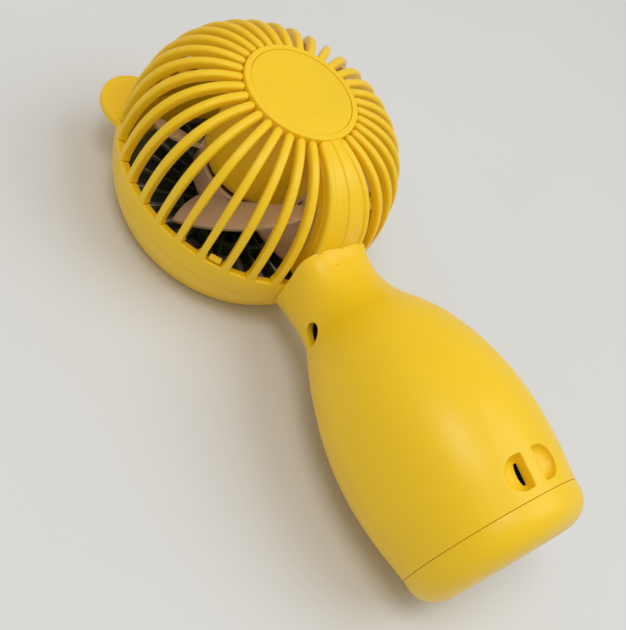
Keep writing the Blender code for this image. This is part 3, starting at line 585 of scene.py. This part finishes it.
def make_bezel():
    """Front half of the ring, rolled under to the rim that stands on the table."""
    top = RING_SEAM_Z - SEAM
    bore = GRILLE_RADIUS - 1.6 * MM
    corners = [(ring_radius(top), top, 0.12 * MM)]
    corners += [(ring_radius(z), z, 0.0) for z in [top * k / 8 for k in range(7, 1, -1)]]
    corners += [(ring_radius(1.6 * MM), 1.6 * MM, 0.0), (FRONT_RIM_RADIUS + 0.1 * MM, 0.25 * MM, 0.5 * MM),
                (FRONT_RIM_RADIUS - 0.8 * MM, 0.0, 0.3 * MM), (bore, 0.0, 0.3 * MM),
                (bore, 1.0 * MM, 0.2 * MM), (GRILLE_RADIUS + 0.1 * MM, 1.1 * MM, 0.2 * MM),
                (ring_radius(0.4 * top) - CAGE_WALL, 0.4 * top, 0.0),
                (ring_radius(top) - CAGE_WALL, top, 0.12 * MM)]
    add_piece("bezel_ring", turned(corners, 288), "front_bezel_ring")


def make_snap_clips():
    """Rounded heads of the bezel's snap hooks, seen above the sill."""
    size = Vector((1.5, 3.5, 1.5)) * MM
    for number, gap in enumerate(CLIP_GAPS, start=1):
        node = f"ring_snap_clip_{number}"
        _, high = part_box(node)
        place = Matrix.Translation((RING_RADIUS - 1.45 * MM, 0.0, high.z - 0.5 * size.z))
        turn = Matrix.Rotation(HANDLE_ANGLE + (gap + 0.5) * RIB_PITCH, 4, "Z")
        bm = bmesh.new()
        bmesh.ops.create_cube(bm, size=1.0, matrix=turn @ place @ Matrix.Diagonal((*size, 1.0)))
        add_piece(f"snap_hook_{number}", bm, node, sharp=35.0, bevel=0.38 * MM)


def make_ear(name, node, side):
    """Flat round ear with softly rounded edges, rooted in the ring."""
    inner = RING_RADIUS - 0.5 * MM
    cosine = (EAR_DISTANCE ** 2 + EAR_RADIUS ** 2 - inner ** 2) / (2.0 * EAR_DISTANCE * EAR_RADIUS)
    reach = math.pi - math.acos(cosine)
    outline = []
    for i in range(65):
        angle = -reach + 2.0 * reach * i / 64
        outline.append((EAR_DISTANCE + EAR_RADIUS * math.cos(angle), EAR_RADIUS * math.sin(angle)))
    half_span = math.atan2(outline[-1][1], outline[-1][0])
    for i in range(1, 24):
        angle = half_span * (1.0 - 2.0 * i / 24)
        outline.append((inner * math.cos(angle), inner * math.sin(angle)))
    turn = Matrix.Rotation(0.5 * math.pi - side * EAR_ANGLE, 3, "Z")
    heights = (EAR_BOTTOM_Z, EAR_BOTTOM_Z + EAR_THICKNESS)
    loops = [[turn @ Vector((x, y, z)) for x, y in outline] for z in heights]
    add_piece(name, sweep_loops(bmesh.new(), loops), node, sharp=45.0, bevel=0.55 * MM)


def make_wire_duct():
    """Channel behind the spine that carries the motor leads and is wider than the spine."""
    loops = []
    start, depth, wall = CAGE_WALL - 0.05 * MM, 3.2 * MM, 1.0 * MM
    for point, normal in dome_line(20.5 * MM, 40):
        reach = SPINE_SPAN * RIB_PITCH + 1.35 * MM / point.x
        thin = wall / point.x
        section = [(-reach, start)] + [(reach * k / 5, start + depth) for k in range(-5, 6)]
        section += [(reach, start), (reach - thin, start)]
        section += [((reach - thin) * k / 5, start + depth - wall) for k in range(5, -6, -1)]
        section += [(thin - reach, start)]
        loops.append([rotated(point - normal * deep, 0.0, HANDLE_ANGLE + angle) for angle, deep in section])
    add_piece("wire_channel", sweep_loops(bmesh.new(), loops), "wire_duct", "yellow_inner", [yellow],
              sharp=40.0, bevel=0.2 * MM)


def make_grille():
    """Deep radial bars between a rim, a hoop and a centre disc, with the bars' edges rounded."""
    bars = bmesh.new()
    depth = GRILLE_BACK_Z - GRILLE_FRONT_Z
    width, edge = 1.1 * MM, 0.45 * MM
    for k in range(GRILLE_RIB_COUNT):
        angle = HANDLE_ANGLE + TAU * k / GRILLE_RIB_COUNT
        loops = []
        for radius in (10.9 * MM, 31.0 * MM):
            section = rounded_outline(((-0.5 * width, 0.0, edge), (0.5 * width, 0.0, edge),
                                       (0.5 * width, depth, edge), (-0.5 * width, depth, edge)))
            loops.append([rotated((radius, GRILLE_BACK_Z - p.y), p.x, angle) for p in section])
        sweep_loops(bars, loops)
    add_piece("grille_bars", bars, "front_grille", "green_grille")
    rings = bmesh.new()
    for inner, outer, back in ((30.4 * MM, GRILLE_RADIUS, GRILLE_BACK_Z),
                               (15.7 * MM, 17.3 * MM, GRILLE_BACK_Z - 0.15 * MM)):
        corners = ((inner, GRILLE_FRONT_Z, 0.3 * MM), (outer, GRILLE_FRONT_Z, 0.3 * MM),
                   (outer, back, 0.35 * MM), (inner, back, 0.35 * MM))
        lathe(rounded_outline(corners), 192, rings)
    add_piece("grille_rings", rings, "front_grille", "green_grille")
    hub = ((0.0, GRILLE_FRONT_Z, 0.0), (11.5 * MM, GRILLE_FRONT_Z, 0.3 * MM),
           (11.5 * MM, GRILLE_BACK_Z, 0.5 * MM), (9.6 * MM, GRILLE_BACK_Z, 0.2 * MM),
           (9.4 * MM, GRILLE_BACK_Z - 0.6 * MM, 0.2 * MM), (0.0, GRILLE_BACK_Z - 0.6 * MM, 0.0))
    add_piece("grille_hub", turned(hub, 96, closed=False), "front_grille", "green_grille")
    cap = ((0.0, 0.15 * MM, 0.0), (5.5 * MM, 0.12 * MM, 0.0), (6.2 * MM, 0.0, 0.15 * MM),
           (9.0 * MM, 0.0, 0.45 * MM), (9.0 * MM, GRILLE_FRONT_Z + 0.1 * MM, 0.0),
           (0.0, GRILLE_FRONT_Z + 0.1 * MM, 0.0))
    add_piece("grille_badge", turned(cap, 96, closed=False), "grille_centre_cap", "green_grille")


# ---- motor pod and impeller --------------------------------------------------------------
def make_pod():
    """Cup that holds the motor, with its stepped floor edge."""
    wall = 1.6 * MM
    inner = POD_RADIUS - wall
    corners = ((3.2 * MM, POD_BOTTOM_Z, 0.2 * MM), (13.9 * MM, POD_BOTTOM_Z, 0.3 * MM),
               (15.5 * MM, POD_BOTTOM_Z + 1.0 * MM, 0.3 * MM),
               (POD_RADIUS, POD_BOTTOM_Z + 3.2 * MM, 0.3 * MM),
               (POD_RADIUS, POD_TOP_Z, 0.2 * MM), (inner, POD_TOP_Z, 0.2 * MM),
               (inner, POD_BOTTOM_Z + 3.1 * MM, 0.3 * MM), (13.3 * MM, POD_BOTTOM_Z + wall, 0.3 * MM),
               (3.2 * MM, POD_BOTTOM_Z + wall, 0.2 * MM))
    add_piece("motor_cup", turned(corners, 144), "motor_pod", "yellow_inner", [yellow])


def blade_point(across, along, offset):
    """A point of the first blade: across from root (0) to tip (1), along from front to back edge."""
    front_edge = BLADE_START + math.radians(13.5) * across
    back_edge = BLADE_START + math.radians(41.0 + 37.0 * (1.0 - (1.0 - across) ** 2.5))
    angle = front_edge + (back_edge - front_edge) * along
    rise = (0.25 + 0.15 * across) * MM
    height = (14.0 + 2.4 * across) * MM + rise * math.degrees(angle - front_edge)
    tip = min(BLADE_TIP_RADIUS, head_radius(height) - 7.4 * MM)
    clear = smoothstep((height - HUB_BACK_Z + 2.4 * MM) / (1.6 * MM))
    root = (HUB_RADIUS - 0.8 * MM) + (BLADE_ROOT_RADIUS - HUB_RADIUS + 0.8 * MM) * clear
    radius = root + (tip - root) * across
    return Vector((radius * math.cos(angle), radius * math.sin(angle), height + offset))


def make_impeller():
    """Cup-shaped hub with five thin twisted blades whose edges are rounded."""
    wall = 1.4 * MM
    inner = HUB_RADIUS - wall
    front = HUB_FRONT_Z + wall
    hub = ((0.0, HUB_FRONT_Z, 0.0), (11.0 * MM, HUB_FRONT_Z, 1.2 * MM),
           (14.8 * MM, HUB_FRONT_Z + 1.0 * MM, 1.2 * MM),
           (HUB_RADIUS, HUB_FRONT_Z + 3.6 * MM, 1.2 * MM), (HUB_RADIUS, HUB_BACK_Z, 0.35 * MM),
           (inner, HUB_BACK_Z, 0.35 * MM), (inner, front + 1.6 * MM, 0.5 * MM), (13.4 * MM, front, 0.5 * MM),
           (3.2 * MM, front, 0.4 * MM), (3.2 * MM, 20.6 * MM, 0.3 * MM), (1.3 * MM, 20.6 * MM, 0.1 * MM),
           (1.3 * MM, front, 0.0), (0.0, front, 0.0))
    add_piece("impeller_hub", turned(hub, 144, closed=False), "impeller", "tan_impeller", body="rotor")
    thickness = 1.05 * MM
    across_steps, along_steps = 18, 30
    blades = bmesh.new()
    for number in range(BLADE_COUNT):
        turn = Matrix.Rotation(TAU * number / BLADE_COUNT, 3, "Z")
        rows = []
        for i in range(across_steps + 1):
            top = [turn @ blade_point(i / across_steps, j / along_steps, 0.5 * thickness)
                   for j in range(along_steps + 1)]
            under = [turn @ blade_point(i / across_steps, j / along_steps, -0.5 * thickness)
                     for j in range(along_steps, -1, -1)]
            rows.append(top + under)
        sweep_loops(blades, rows)
    add_piece("impeller_blades", blades, "impeller", "tan_impeller", body="rotor", sharp=45.0,
              bevel=0.3 * MM)
    nose = ((0.0, 10.2 * MM, 0.0), (4.6 * MM, 10.4 * MM, 0.5 * MM), (5.6 * MM, HUB_FRONT_Z, 0.0),
            (0.0, HUB_FRONT_Z, 0.0))
    add_piece("impeller_nose", turned(nose, 72, closed=False), "hub_nose_cap", "tan_impeller", body="rotor")


# ---- handle ------------------------------------------------------------------------------
UNROLLED_RADIUS = 20.0               # millimetres on the unrolled handle for each radian of turn


class Skin:
    """One side of a handle shell: a grid of vertices, with windows that are filled round holes."""

    def __init__(self, bm, rear, inset_at, columns, rows):
        self.bm, self.rear, self.inset_at = bm, rear, inset_at
        self.rows, self.columns = rows, columns
        seam = PARTING_Z + (SEAM if rear else -SEAM)
        self.verts, self.closed_windows = [], []
        for r in range(rows + 1):
            line = []
            for c in range(columns + 1):
                share = c / columns
                inset = inset_at(Vector((0.0, 0.0, 0.0)))
                turn = self.turn_at(seam, share, 40.0 * MM, inset)
                start = head_distance(turn, inset, rear_lip_gap(turn) if rear else FRONT_LIP_GAP)
                distance = start + (HANDLE_END - SEAM - start) * (r / rows) ** 1.25
                turn = self.turn_at(seam, share, distance, inset)
                extra = inset_at(handle_point(turn, distance, inset))
                line.append(bm.verts.new(handle_point(turn, distance, extra)))
            self.verts.append(line)

    def turn_at(self, seam, share, distance, inset):
        """Angle round the handle's axis, a share of the way from one parting line to the other."""
        low = math.asin((seam - handle_axis_z(distance)) / (handle_radius(distance) - inset))
        start, end = (low, math.pi - low) if self.rear else (math.pi - low, TAU + low)
        return start + (end - start) * share

    def flat(self, vert):
        """Vertex as a point on the unrolled handle."""
        turn = math.atan2(vert.co.z - handle_axis_z(-vert.co.y), vert.co.x)
        if self.rear:
            turn = (turn + 0.5 * math.pi) % TAU - 0.5 * math.pi
        else:
            turn = turn % TAU
        return Vector((turn * UNROLLED_RADIUS, -vert.co.y / MM))

    def window(self, centre, reach_turn, reach_y, loops, is_clear):
        """Refills the grid round a place, given by its y and its unrolled turn (centre.z), beside loops."""
        picked = [(r, c) for r in range(self.rows + 1) for c in range(self.columns + 1)
                  if self.verts[r][c] and abs(self.verts[r][c].co.y - centre.y) < reach_y
                  and abs(self.flat(self.verts[r][c]).x - centre.z) < reach_turn]
        r0, r1 = min(r for r, _ in picked), max(r for r, _ in picked)
        c0, c1 = min(c for _, c in picked), max(c for _, c in picked)
        border = [(r0, c) for c in range(c0, c1)] + [(r, c1) for r in range(r0, r1)]
        border += [(r1, c) for c in range(c1, c0, -1)] + [(r, c0) for r in range(r1, r0, -1)]
        known = [self.verts[r][c] for r, c in border]
        edges = [(i, (i + 1) % len(known)) for i in range(len(known))]
        for loop in loops:
            first = len(known)
            known += loop
            edges += [(first + i, first + (i + 1) % len(loop)) for i in range(len(loop))]
        for r in range(r0 + 1, r1):
            for c in range(c0 + 1, c1):
                if is_clear(self.verts[r][c].co):
                    known.append(self.verts[r][c])
                else:
                    self.bm.verts.remove(self.verts[r][c])
                    self.verts[r][c] = None
        points = [self.flat(v) for v in known]
        _, _, faces, origin, _, _ = delaunay_2d_cdt(points, edges, [], 1, 1e-5)
        holes = [[self.flat(v) for v in loop] for loop in loops]
        for face in faces:
            corners = [origin[i][0] for i in face]
            middle = sum((points[i] for i in corners), Vector((0.0, 0.0))) / len(corners)
            if not any(inside(middle, hole) for hole in holes):
                self.bm.faces.new([known[i] for i in corners])
        self.closed_windows.append((r0, r1, c0, c1))

    def fill(self):
        """Quads everywhere else."""
        for r in range(self.rows):
            for c in range(self.columns):
                if any(r0 <= r < r1 and c0 <= c < c1 for r0, r1, c0, c1 in self.closed_windows):
                    continue
                self.bm.faces.new((self.verts[r][c], self.verts[r][c + 1], self.verts[r + 1][c + 1],
                                   self.verts[r + 1][c]))

    def rim(self):
        """Border vertices in order."""
        rows, columns = self.rows, self.columns
        line = [self.verts[0][c] for c in range(columns)] + [self.verts[r][columns] for r in range(rows)]
        line += [self.verts[rows][c] for c in range(columns, 0, -1)]
        return line + [self.verts[r][0] for r in range(rows, 0, -1)]


def inside(point, polygon):
    """True if a flat point lies in a polygon."""
    hit = False
    for a, b in zip(polygon, polygon[1:] + polygon[:1]):
        if (a.y > point.y) != (b.y > point.y):
            if point.x < a.x + (point.y - a.y) * (b.x - a.x) / (b.y - a.y):
                hit = not hit
    return hit


def fillet_steps(radius, steps=4):
    """(offset outwards, depth) pairs down a rounded edge."""
    angles = [0.5 * math.pi * k / steps for k in range(steps + 1)]
    return [(radius * (1.0 - math.sin(a)), radius * (1.0 - math.cos(a))) for a in angles]


def surface_height(x, y, side=1.0, inset=0.0):
    """Height of the handle's rear (side 1) or front (side -1) over a point of the table."""
    radius = handle_radius(-y) - inset
    return handle_axis_z(-y) + side * math.sqrt(radius * radius - x * x)


def pocket_outline(side):
    """Half of the lanyard's oval on one side of the bar: (point, outward normal), bar side first."""
    radius = 0.5 * LANYARD_WIDTH
    far = 0.5 * (LANYARD_LENGTH - LANYARD_WIDTH)
    near, corner = 0.5 * LANYARD_BAR, 0.45 * MM
    points = []
    span = radius - corner
    for k in range(15):
        points.append((Vector((near, -span + 2.0 * span * k / 14)), Vector((-1.0, 0.0))))
    for k in range(1, 5):
        a = math.pi - 0.5 * math.pi * k / 4
        points.append((Vector((near + corner + corner * math.cos(a), span + corner * math.sin(a))),
                       Vector((math.cos(a), math.sin(a)))))
    for k in range(1, 4):
        points.append((Vector((near + corner + (far - near - corner) * k / 4, radius)), Vector((0.0, 1.0))))
    for k in range(29):
        a = 0.5 * math.pi - math.pi * k / 28
        points.append((Vector((far + radius * math.cos(a), radius * math.sin(a))),
                       Vector((math.cos(a), math.sin(a)))))
    for k in range(3, 0, -1):
        points.append((Vector((near + corner + (far - near - corner) * k / 4, -radius)), Vector((0.0, -1.0))))
    for k in range(4, 0, -1):
        a = math.pi + 0.5 * math.pi * k / 4
        points.append((Vector((near + corner + corner * math.cos(a), -span + corner * math.sin(a))),
                       Vector((math.cos(a), math.sin(a)))))
    return [(Vector((side * p.x, p.y)), Vector((side * n.x, n.y))) for p, n in points]


BAR_SIDE = 15                        # vertices of a pocket's outline along the bar


def make_pockets(bm):
    """Two scooped pockets that meet in a tunnel under the bar; their deep walls, floors and the tunnel carry
    near-black painted shade. Returns their rims on the skin.
    """
    bar_depth, tunnel_depth, throat, squeeze = 3.0 * MM, 5.6 * MM, 1.35 * MM, 0.66
    near = 0.5 * LANYARD_BAR
    reach = 0.5 * LANYARD_LENGTH - near
    rims, deep_rings = [], []
    for side in (-1.0, 1.0):
        outline = pocket_outline(side)
        rings = []
        levels = fillet_steps(0.35 * MM) + [(0.0, bar_depth * k / 10) for k in range(2, 11)]
        levels += [(0.0, bar_depth + (tunnel_depth - bar_depth) * k / 3) for k in (1, 2, 3)]
        for offset, depth in levels:
            share = min(depth / bar_depth, 1.0)
            bowl = 1.0 - math.sqrt(max(1.0 - share * share, 0.0))
            ring = []
            for p, n in outline:
                q = p + n * offset
                if offset == 0.0:
                    out = (abs(q.x) - near) / reach
                    across = near + out * (reach + (throat - reach) * bowl)
                    q = Vector((side * across, q.y * (1.0 + (squeeze - 1.0) * bowl)))
                x, y = q.x + LANYARD_CENTRE.x, q.y + LANYARD_CENTRE.y
                ring.append(bm.verts.new((x, y, surface_height(x, y) - depth)))
            rings.append(ring)
        # From the bar's depth down, the rings, the floors and the tunnel under the bar take material 1:
        # near-black painted shade.
        bar_ring = len(rings) - 4
        for k, (first, second) in enumerate(zip(rings, rings[1:])):
            skip = range(BAR_SIDE - 1) if k >= bar_ring else ()
            bridge(bm, first, second, material_index=1 if k >= bar_ring else 0, skip=skip)
        floor = bm.faces.new(rings[-1])
        floor.material_index = 1
        rims.append(rings[0])
        deep_rings.append(rings[bar_ring:])
    left, right = deep_rings
    bridge(bm, left[0][:BAR_SIDE], right[0][:BAR_SIDE], closed=False, material_index=1)
    bridge(bm, left[-1][:BAR_SIDE], right[-1][:BAR_SIDE], closed=False, material_index=1)
    for end in (0, BAR_SIDE - 1):
        edges = [[ring[end] for ring in pocket] for pocket in deep_rings]
        bridge(bm, *edges, closed=False, material_index=1)
    return rims


def clear_of_lanyard(point):
    """True for skin vertices that may stay: off the lanyard's oval, or on the bar."""
    p = point - LANYARD_CENTRE
    beyond = max(abs(p.x) - 0.5 * (LANYARD_LENGTH - LANYARD_WIDTH), 0.0)
    is_on_bar = abs(p.x) < 0.5 * LANYARD_BAR - 0.8 * MM
    return math.hypot(beyond, p.y) > 0.5 * LANYARD_WIDTH + 0.75 * MM or is_on_bar


def rear_boss(point):
    """Depth of the inner skin: the wall, and a boss round the lanyard pockets."""
    p = point - LANYARD_CENTRE
    far = math.hypot(p.x / (13.5 * MM), p.y / (9.0 * MM))
    return HANDLE_WALL + 5.6 * MM * smoothstep((1.0 - far) * 2.6)


def jack_ring(radius, depth_at):
    """Ring of points round the charging hole; depth_at gives the x of each."""
    points = []
    for k in range(48):
        a = TAU * k / 48
        y = JACK_CENTRE.y + radius * math.cos(a)
        z = JACK_CENTRE.z + radius * math.sin(a)
        points.append(Vector((depth_at(y, z), y, z)))
    return points


def side_depth(y, z, inset=0.0):
    """X of the handle's left side at a height."""
    radius = handle_radius(-y) - inset
    return -math.sqrt(radius * radius - (z - handle_axis_z(-y)) ** 2)


def make_handle_rear():
    """Rear shell with the charging hole, the lanyard pockets and the bar between them."""
    bm = bmesh.new()
    outer = Skin(bm, True, lambda p: 0.0, 110, 100)
    inner = Skin(bm, True, rear_boss, 110, 100)
    rims = make_pockets(bm)
    middle = Vector((LANYARD_CENTRE.x, LANYARD_CENTRE.y, 0.5 * math.pi * UNROLLED_RADIUS))
    outer.window(middle, 10.4, 5.9 * MM, rims, clear_of_lanyard)
    rings = []
    for offset, depth in fillet_steps(0.22 * MM):
        ring = jack_ring(JACK_HOLE_RADIUS + offset, lambda y, z, d=depth: side_depth(y, z) + d)
        rings.append([bm.verts.new(p) for p in ring])
    last = [bm.verts.new(p) for p in jack_ring(JACK_HOLE_RADIUS, lambda y, z: side_depth(y, z, HANDLE_WALL))]
    for first, second in zip(rings, rings[1:] + [last]):
        bridge(bm, first, second)
    beside = Vector((JACK_CENTRE.x, JACK_CENTRE.y, math.pi * UNROLLED_RADIUS))
    is_clear = lambda p: (p.yz - JACK_CENTRE.yz).length > JACK_HOLE_RADIUS + 0.6 * MM
    outer.window(beside, 6.6, 4.6 * MM, [rings[0]], is_clear)
    inner.window(beside, 6.6, 4.6 * MM, [last], is_clear)
    outer.fill()
    inner.fill()
    bridge(bm, outer.rim(), inner.rim())
    # Material 1 is the near-black painted shade of the pockets' deep walls, floors and tunnel.
    add_piece("handle_rear", bm, "handle_rear_shell", materials=[yellow, painted_shade_black], sharp=48.0,
              bevel=0.14 * MM)


def make_handle_front():
    """Front shell with the openings for the speed button and the charge light."""
    bm = bmesh.new()
    outer = Skin(bm, False, lambda p: 0.0, 100, 100)
    inner = Skin(bm, False, lambda p: HANDLE_WALL, 100, 100)
    for y, radius, reach in ((BUTTON_Y, BUTTON_RADIUS + 0.25 * MM, 7.2),
                             (LENS_Y, LENS_RADIUS + 0.15 * MM, 2.6)):
        def hole_ring(offset, depth, inset=0.0):
            ring = []
            for k in range(48):
                a = TAU * k / 48
                x, place = (radius + offset) * math.cos(a), y + (radius + offset) * math.sin(a)
                ring.append(bm.verts.new((x, place, surface_height(x, place, -1.0, inset) + depth)))
            return ring
        rings = [hole_ring(offset, depth) for offset, depth in fillet_steps(0.3 * MM)]
        last = hole_ring(0.0, 0.0, HANDLE_WALL)
        for first, second in zip(rings, rings[1:] + [last]):
            bridge(bm, first, second)
        is_clear = lambda p: math.hypot(p.x, p.y - y) > radius + 0.7 * MM
        middle = Vector((0.0, y, 1.5 * math.pi * UNROLLED_RADIUS))
        outer.window(middle, reach, reach * MM, [rings[0]], is_clear)
        inner.window(middle, reach, reach * MM, [last], is_clear)
    outer.fill()
    inner.fill()
    bridge(bm, outer.rim(), inner.rim())
    add_piece("handle_front", bm, "handle_front_shell", sharp=48.0, bevel=0.14 * MM)


def make_base():
    """Base cap: a short skirt and a large rounded edge to a flat foot."""
    start = HANDLE_END + SEAM
    skirt, foot_radius = 1.2 * MM, 15.5 * MM
    edge = handle_radius(HANDLE_END) - 0.02 * MM
    depth = BASE_END - start - skirt - 0.03 * MM

    def shell(inset):
        points = [(edge - inset, 0.0)]
        for k in range(17):
            a = 0.5 * math.pi * k / 16
            across = foot_radius + (edge - inset - foot_radius) * math.cos(a) ** 0.93
            points.append((across, skirt + (depth - inset) * math.sin(a) ** 0.93))
        return points + [(0.0, skirt + depth - inset)]

    bm = lathe(shell(0.0)[::-1] + shell(HANDLE_WALL), 144)
    place = Matrix.Translation((0.0, -start, HANDLE_AXIS_Z)) @ Matrix.Rotation(0.5 * math.pi, 4, "X")
    bm.transform(place)
    add_piece("base_cap_shell", bm, "base_cap", sharp=60.0, bevel=0.14 * MM)


def make_button_and_lens():
    """Speed button with a shallow dish and a stem, and the charge light's domed lens."""
    low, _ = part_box("speed_button")
    face, edge = low.z, BUTTON_RADIUS - 0.2 * MM
    dish = [(0.0, face + 0.35 * MM, 0.0), (1.4 * MM, face + 0.31 * MM, 0.0), (2.6 * MM, face + 0.2 * MM, 0.0)]
    corners = dish + [(3.6 * MM, face, 0.4 * MM), (edge, face + 0.15 * MM, 0.6 * MM),
                      (edge, face + 3.4 * MM, 0.2 * MM), (1.8 * MM, face + 3.4 * MM, 0.2 * MM),
                      (1.8 * MM, 6.0 * MM, 0.1 * MM), (0.0, 6.0 * MM, 0.0)]
    bm = turned(corners, 96, closed=False)
    bm.transform(Matrix.Translation((0.0, BUTTON_Y, 0.0)))
    add_piece("button_key", bm, "speed_button", body="button")
    low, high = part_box("charge_light_lens")
    lens = [(0.0, low.z, 0.0), (0.7 * MM, low.z + 0.04 * MM, 0.0), (LENS_RADIUS, low.z + 0.25 * MM, 0.2 * MM),
            (LENS_RADIUS, high.z, 0.1 * MM), (0.0, high.z, 0.0)]
    bm = turned(lens, 48, closed=False)
    bm.transform(Matrix.Translation((0.0, LENS_Y, 0.0)))
    add_piece("light_lens", bm, "charge_light_lens", "white_lens")


# ---- stage -------------------------------------------------------------------------------
def make_stage():
    """Pale table, a small lamp above and to the left, a wide window light on the right, and the camera."""
    bm = bmesh.new()
    bmesh.ops.create_grid(bm, x_segments=1, y_segments=1, size=3.0)
    mesh = bpy.data.meshes.new("table")
    bm.to_mesh(mesh)
    bm.free()
    table = bpy.data.objects.new("table", mesh)
    bpy.context.scene.collection.objects.link(table)
    table.location.z = -0.05 * MM
    made, nodes, links, shader = new_material("table_top")
    place = nodes.new("ShaderNodeTexCoord").outputs["Object"]
    slow = mapped(nodes, links, noise(nodes, links, place, 6.0, 4.0), 0.3, 0.7, 0.0, 1.0)
    links.new(mixed_colour(nodes, links, slow, (0.72, 0.725, 0.73), (0.69, 0.695, 0.70)),
              shader.inputs["Base Color"])
    shader.inputs["Roughness"].default_value = 0.55
    mesh.materials.append(made)

    world = bpy.data.worlds.new("soft_room")
    world.use_nodes = True
    background = world.node_tree.nodes["Background"]
    background.inputs["Color"].default_value = (1.0, 0.955, 0.89, 1.0)
    background.inputs["Strength"].default_value = 0.52
    bpy.context.scene.world = world

    lights = (("lamp", (-0.29, -0.04, 0.84), 0.28, 1.8, (1.0, 0.99, 0.97)),
              ("window", (0.42, -0.32, 0.9), 0.75, 3.8, (0.9, 0.97, 1.0)))
    for name, spot, width, power, colour in lights:
        light = bpy.data.lights.new(name, "AREA")
        light.shape = "SQUARE"
        light.size = width
        light.energy = power
        light.color = colour
        lamp = bpy.data.objects.new(name, light)
        lamp.location = spot
        lamp.rotation_euler = (-Vector(spot)).to_track_quat("-Z", "Y").to_euler()
        bpy.context.scene.collection.objects.link(lamp)

    camera = bpy.data.cameras.new("camera")
    camera.sensor_width = 36.0
    camera.lens = 60.0
    camera.clip_start, camera.clip_end = 0.01, 20.0
    view = bpy.data.objects.new("camera", camera)
    view.location = (-0.18318, -0.13395, 0.22697)
    view.rotation_euler = [math.radians(a) for a in (35.989, -26.048, -32.862)]
    bpy.context.scene.collection.objects.link(view)
    bpy.context.scene.camera = view
    bpy.context.scene.view_settings.view_transform = "Standard"


def main():
    dress_cad_nodes()
    make_cage_ring()
    make_ribs()
    make_spine_panel()
    make_disc()
    make_bezel()
    make_snap_clips()
    make_ear("ear_left", "left_ear", -1)
    make_ear("ear_right", "right_ear", 1)
    make_wire_duct()
    make_grille()
    make_pod()
    make_impeller()
    make_handle_rear()
    make_handle_front()
    make_base()
    make_button_and_lens()
    make_stage()


main()
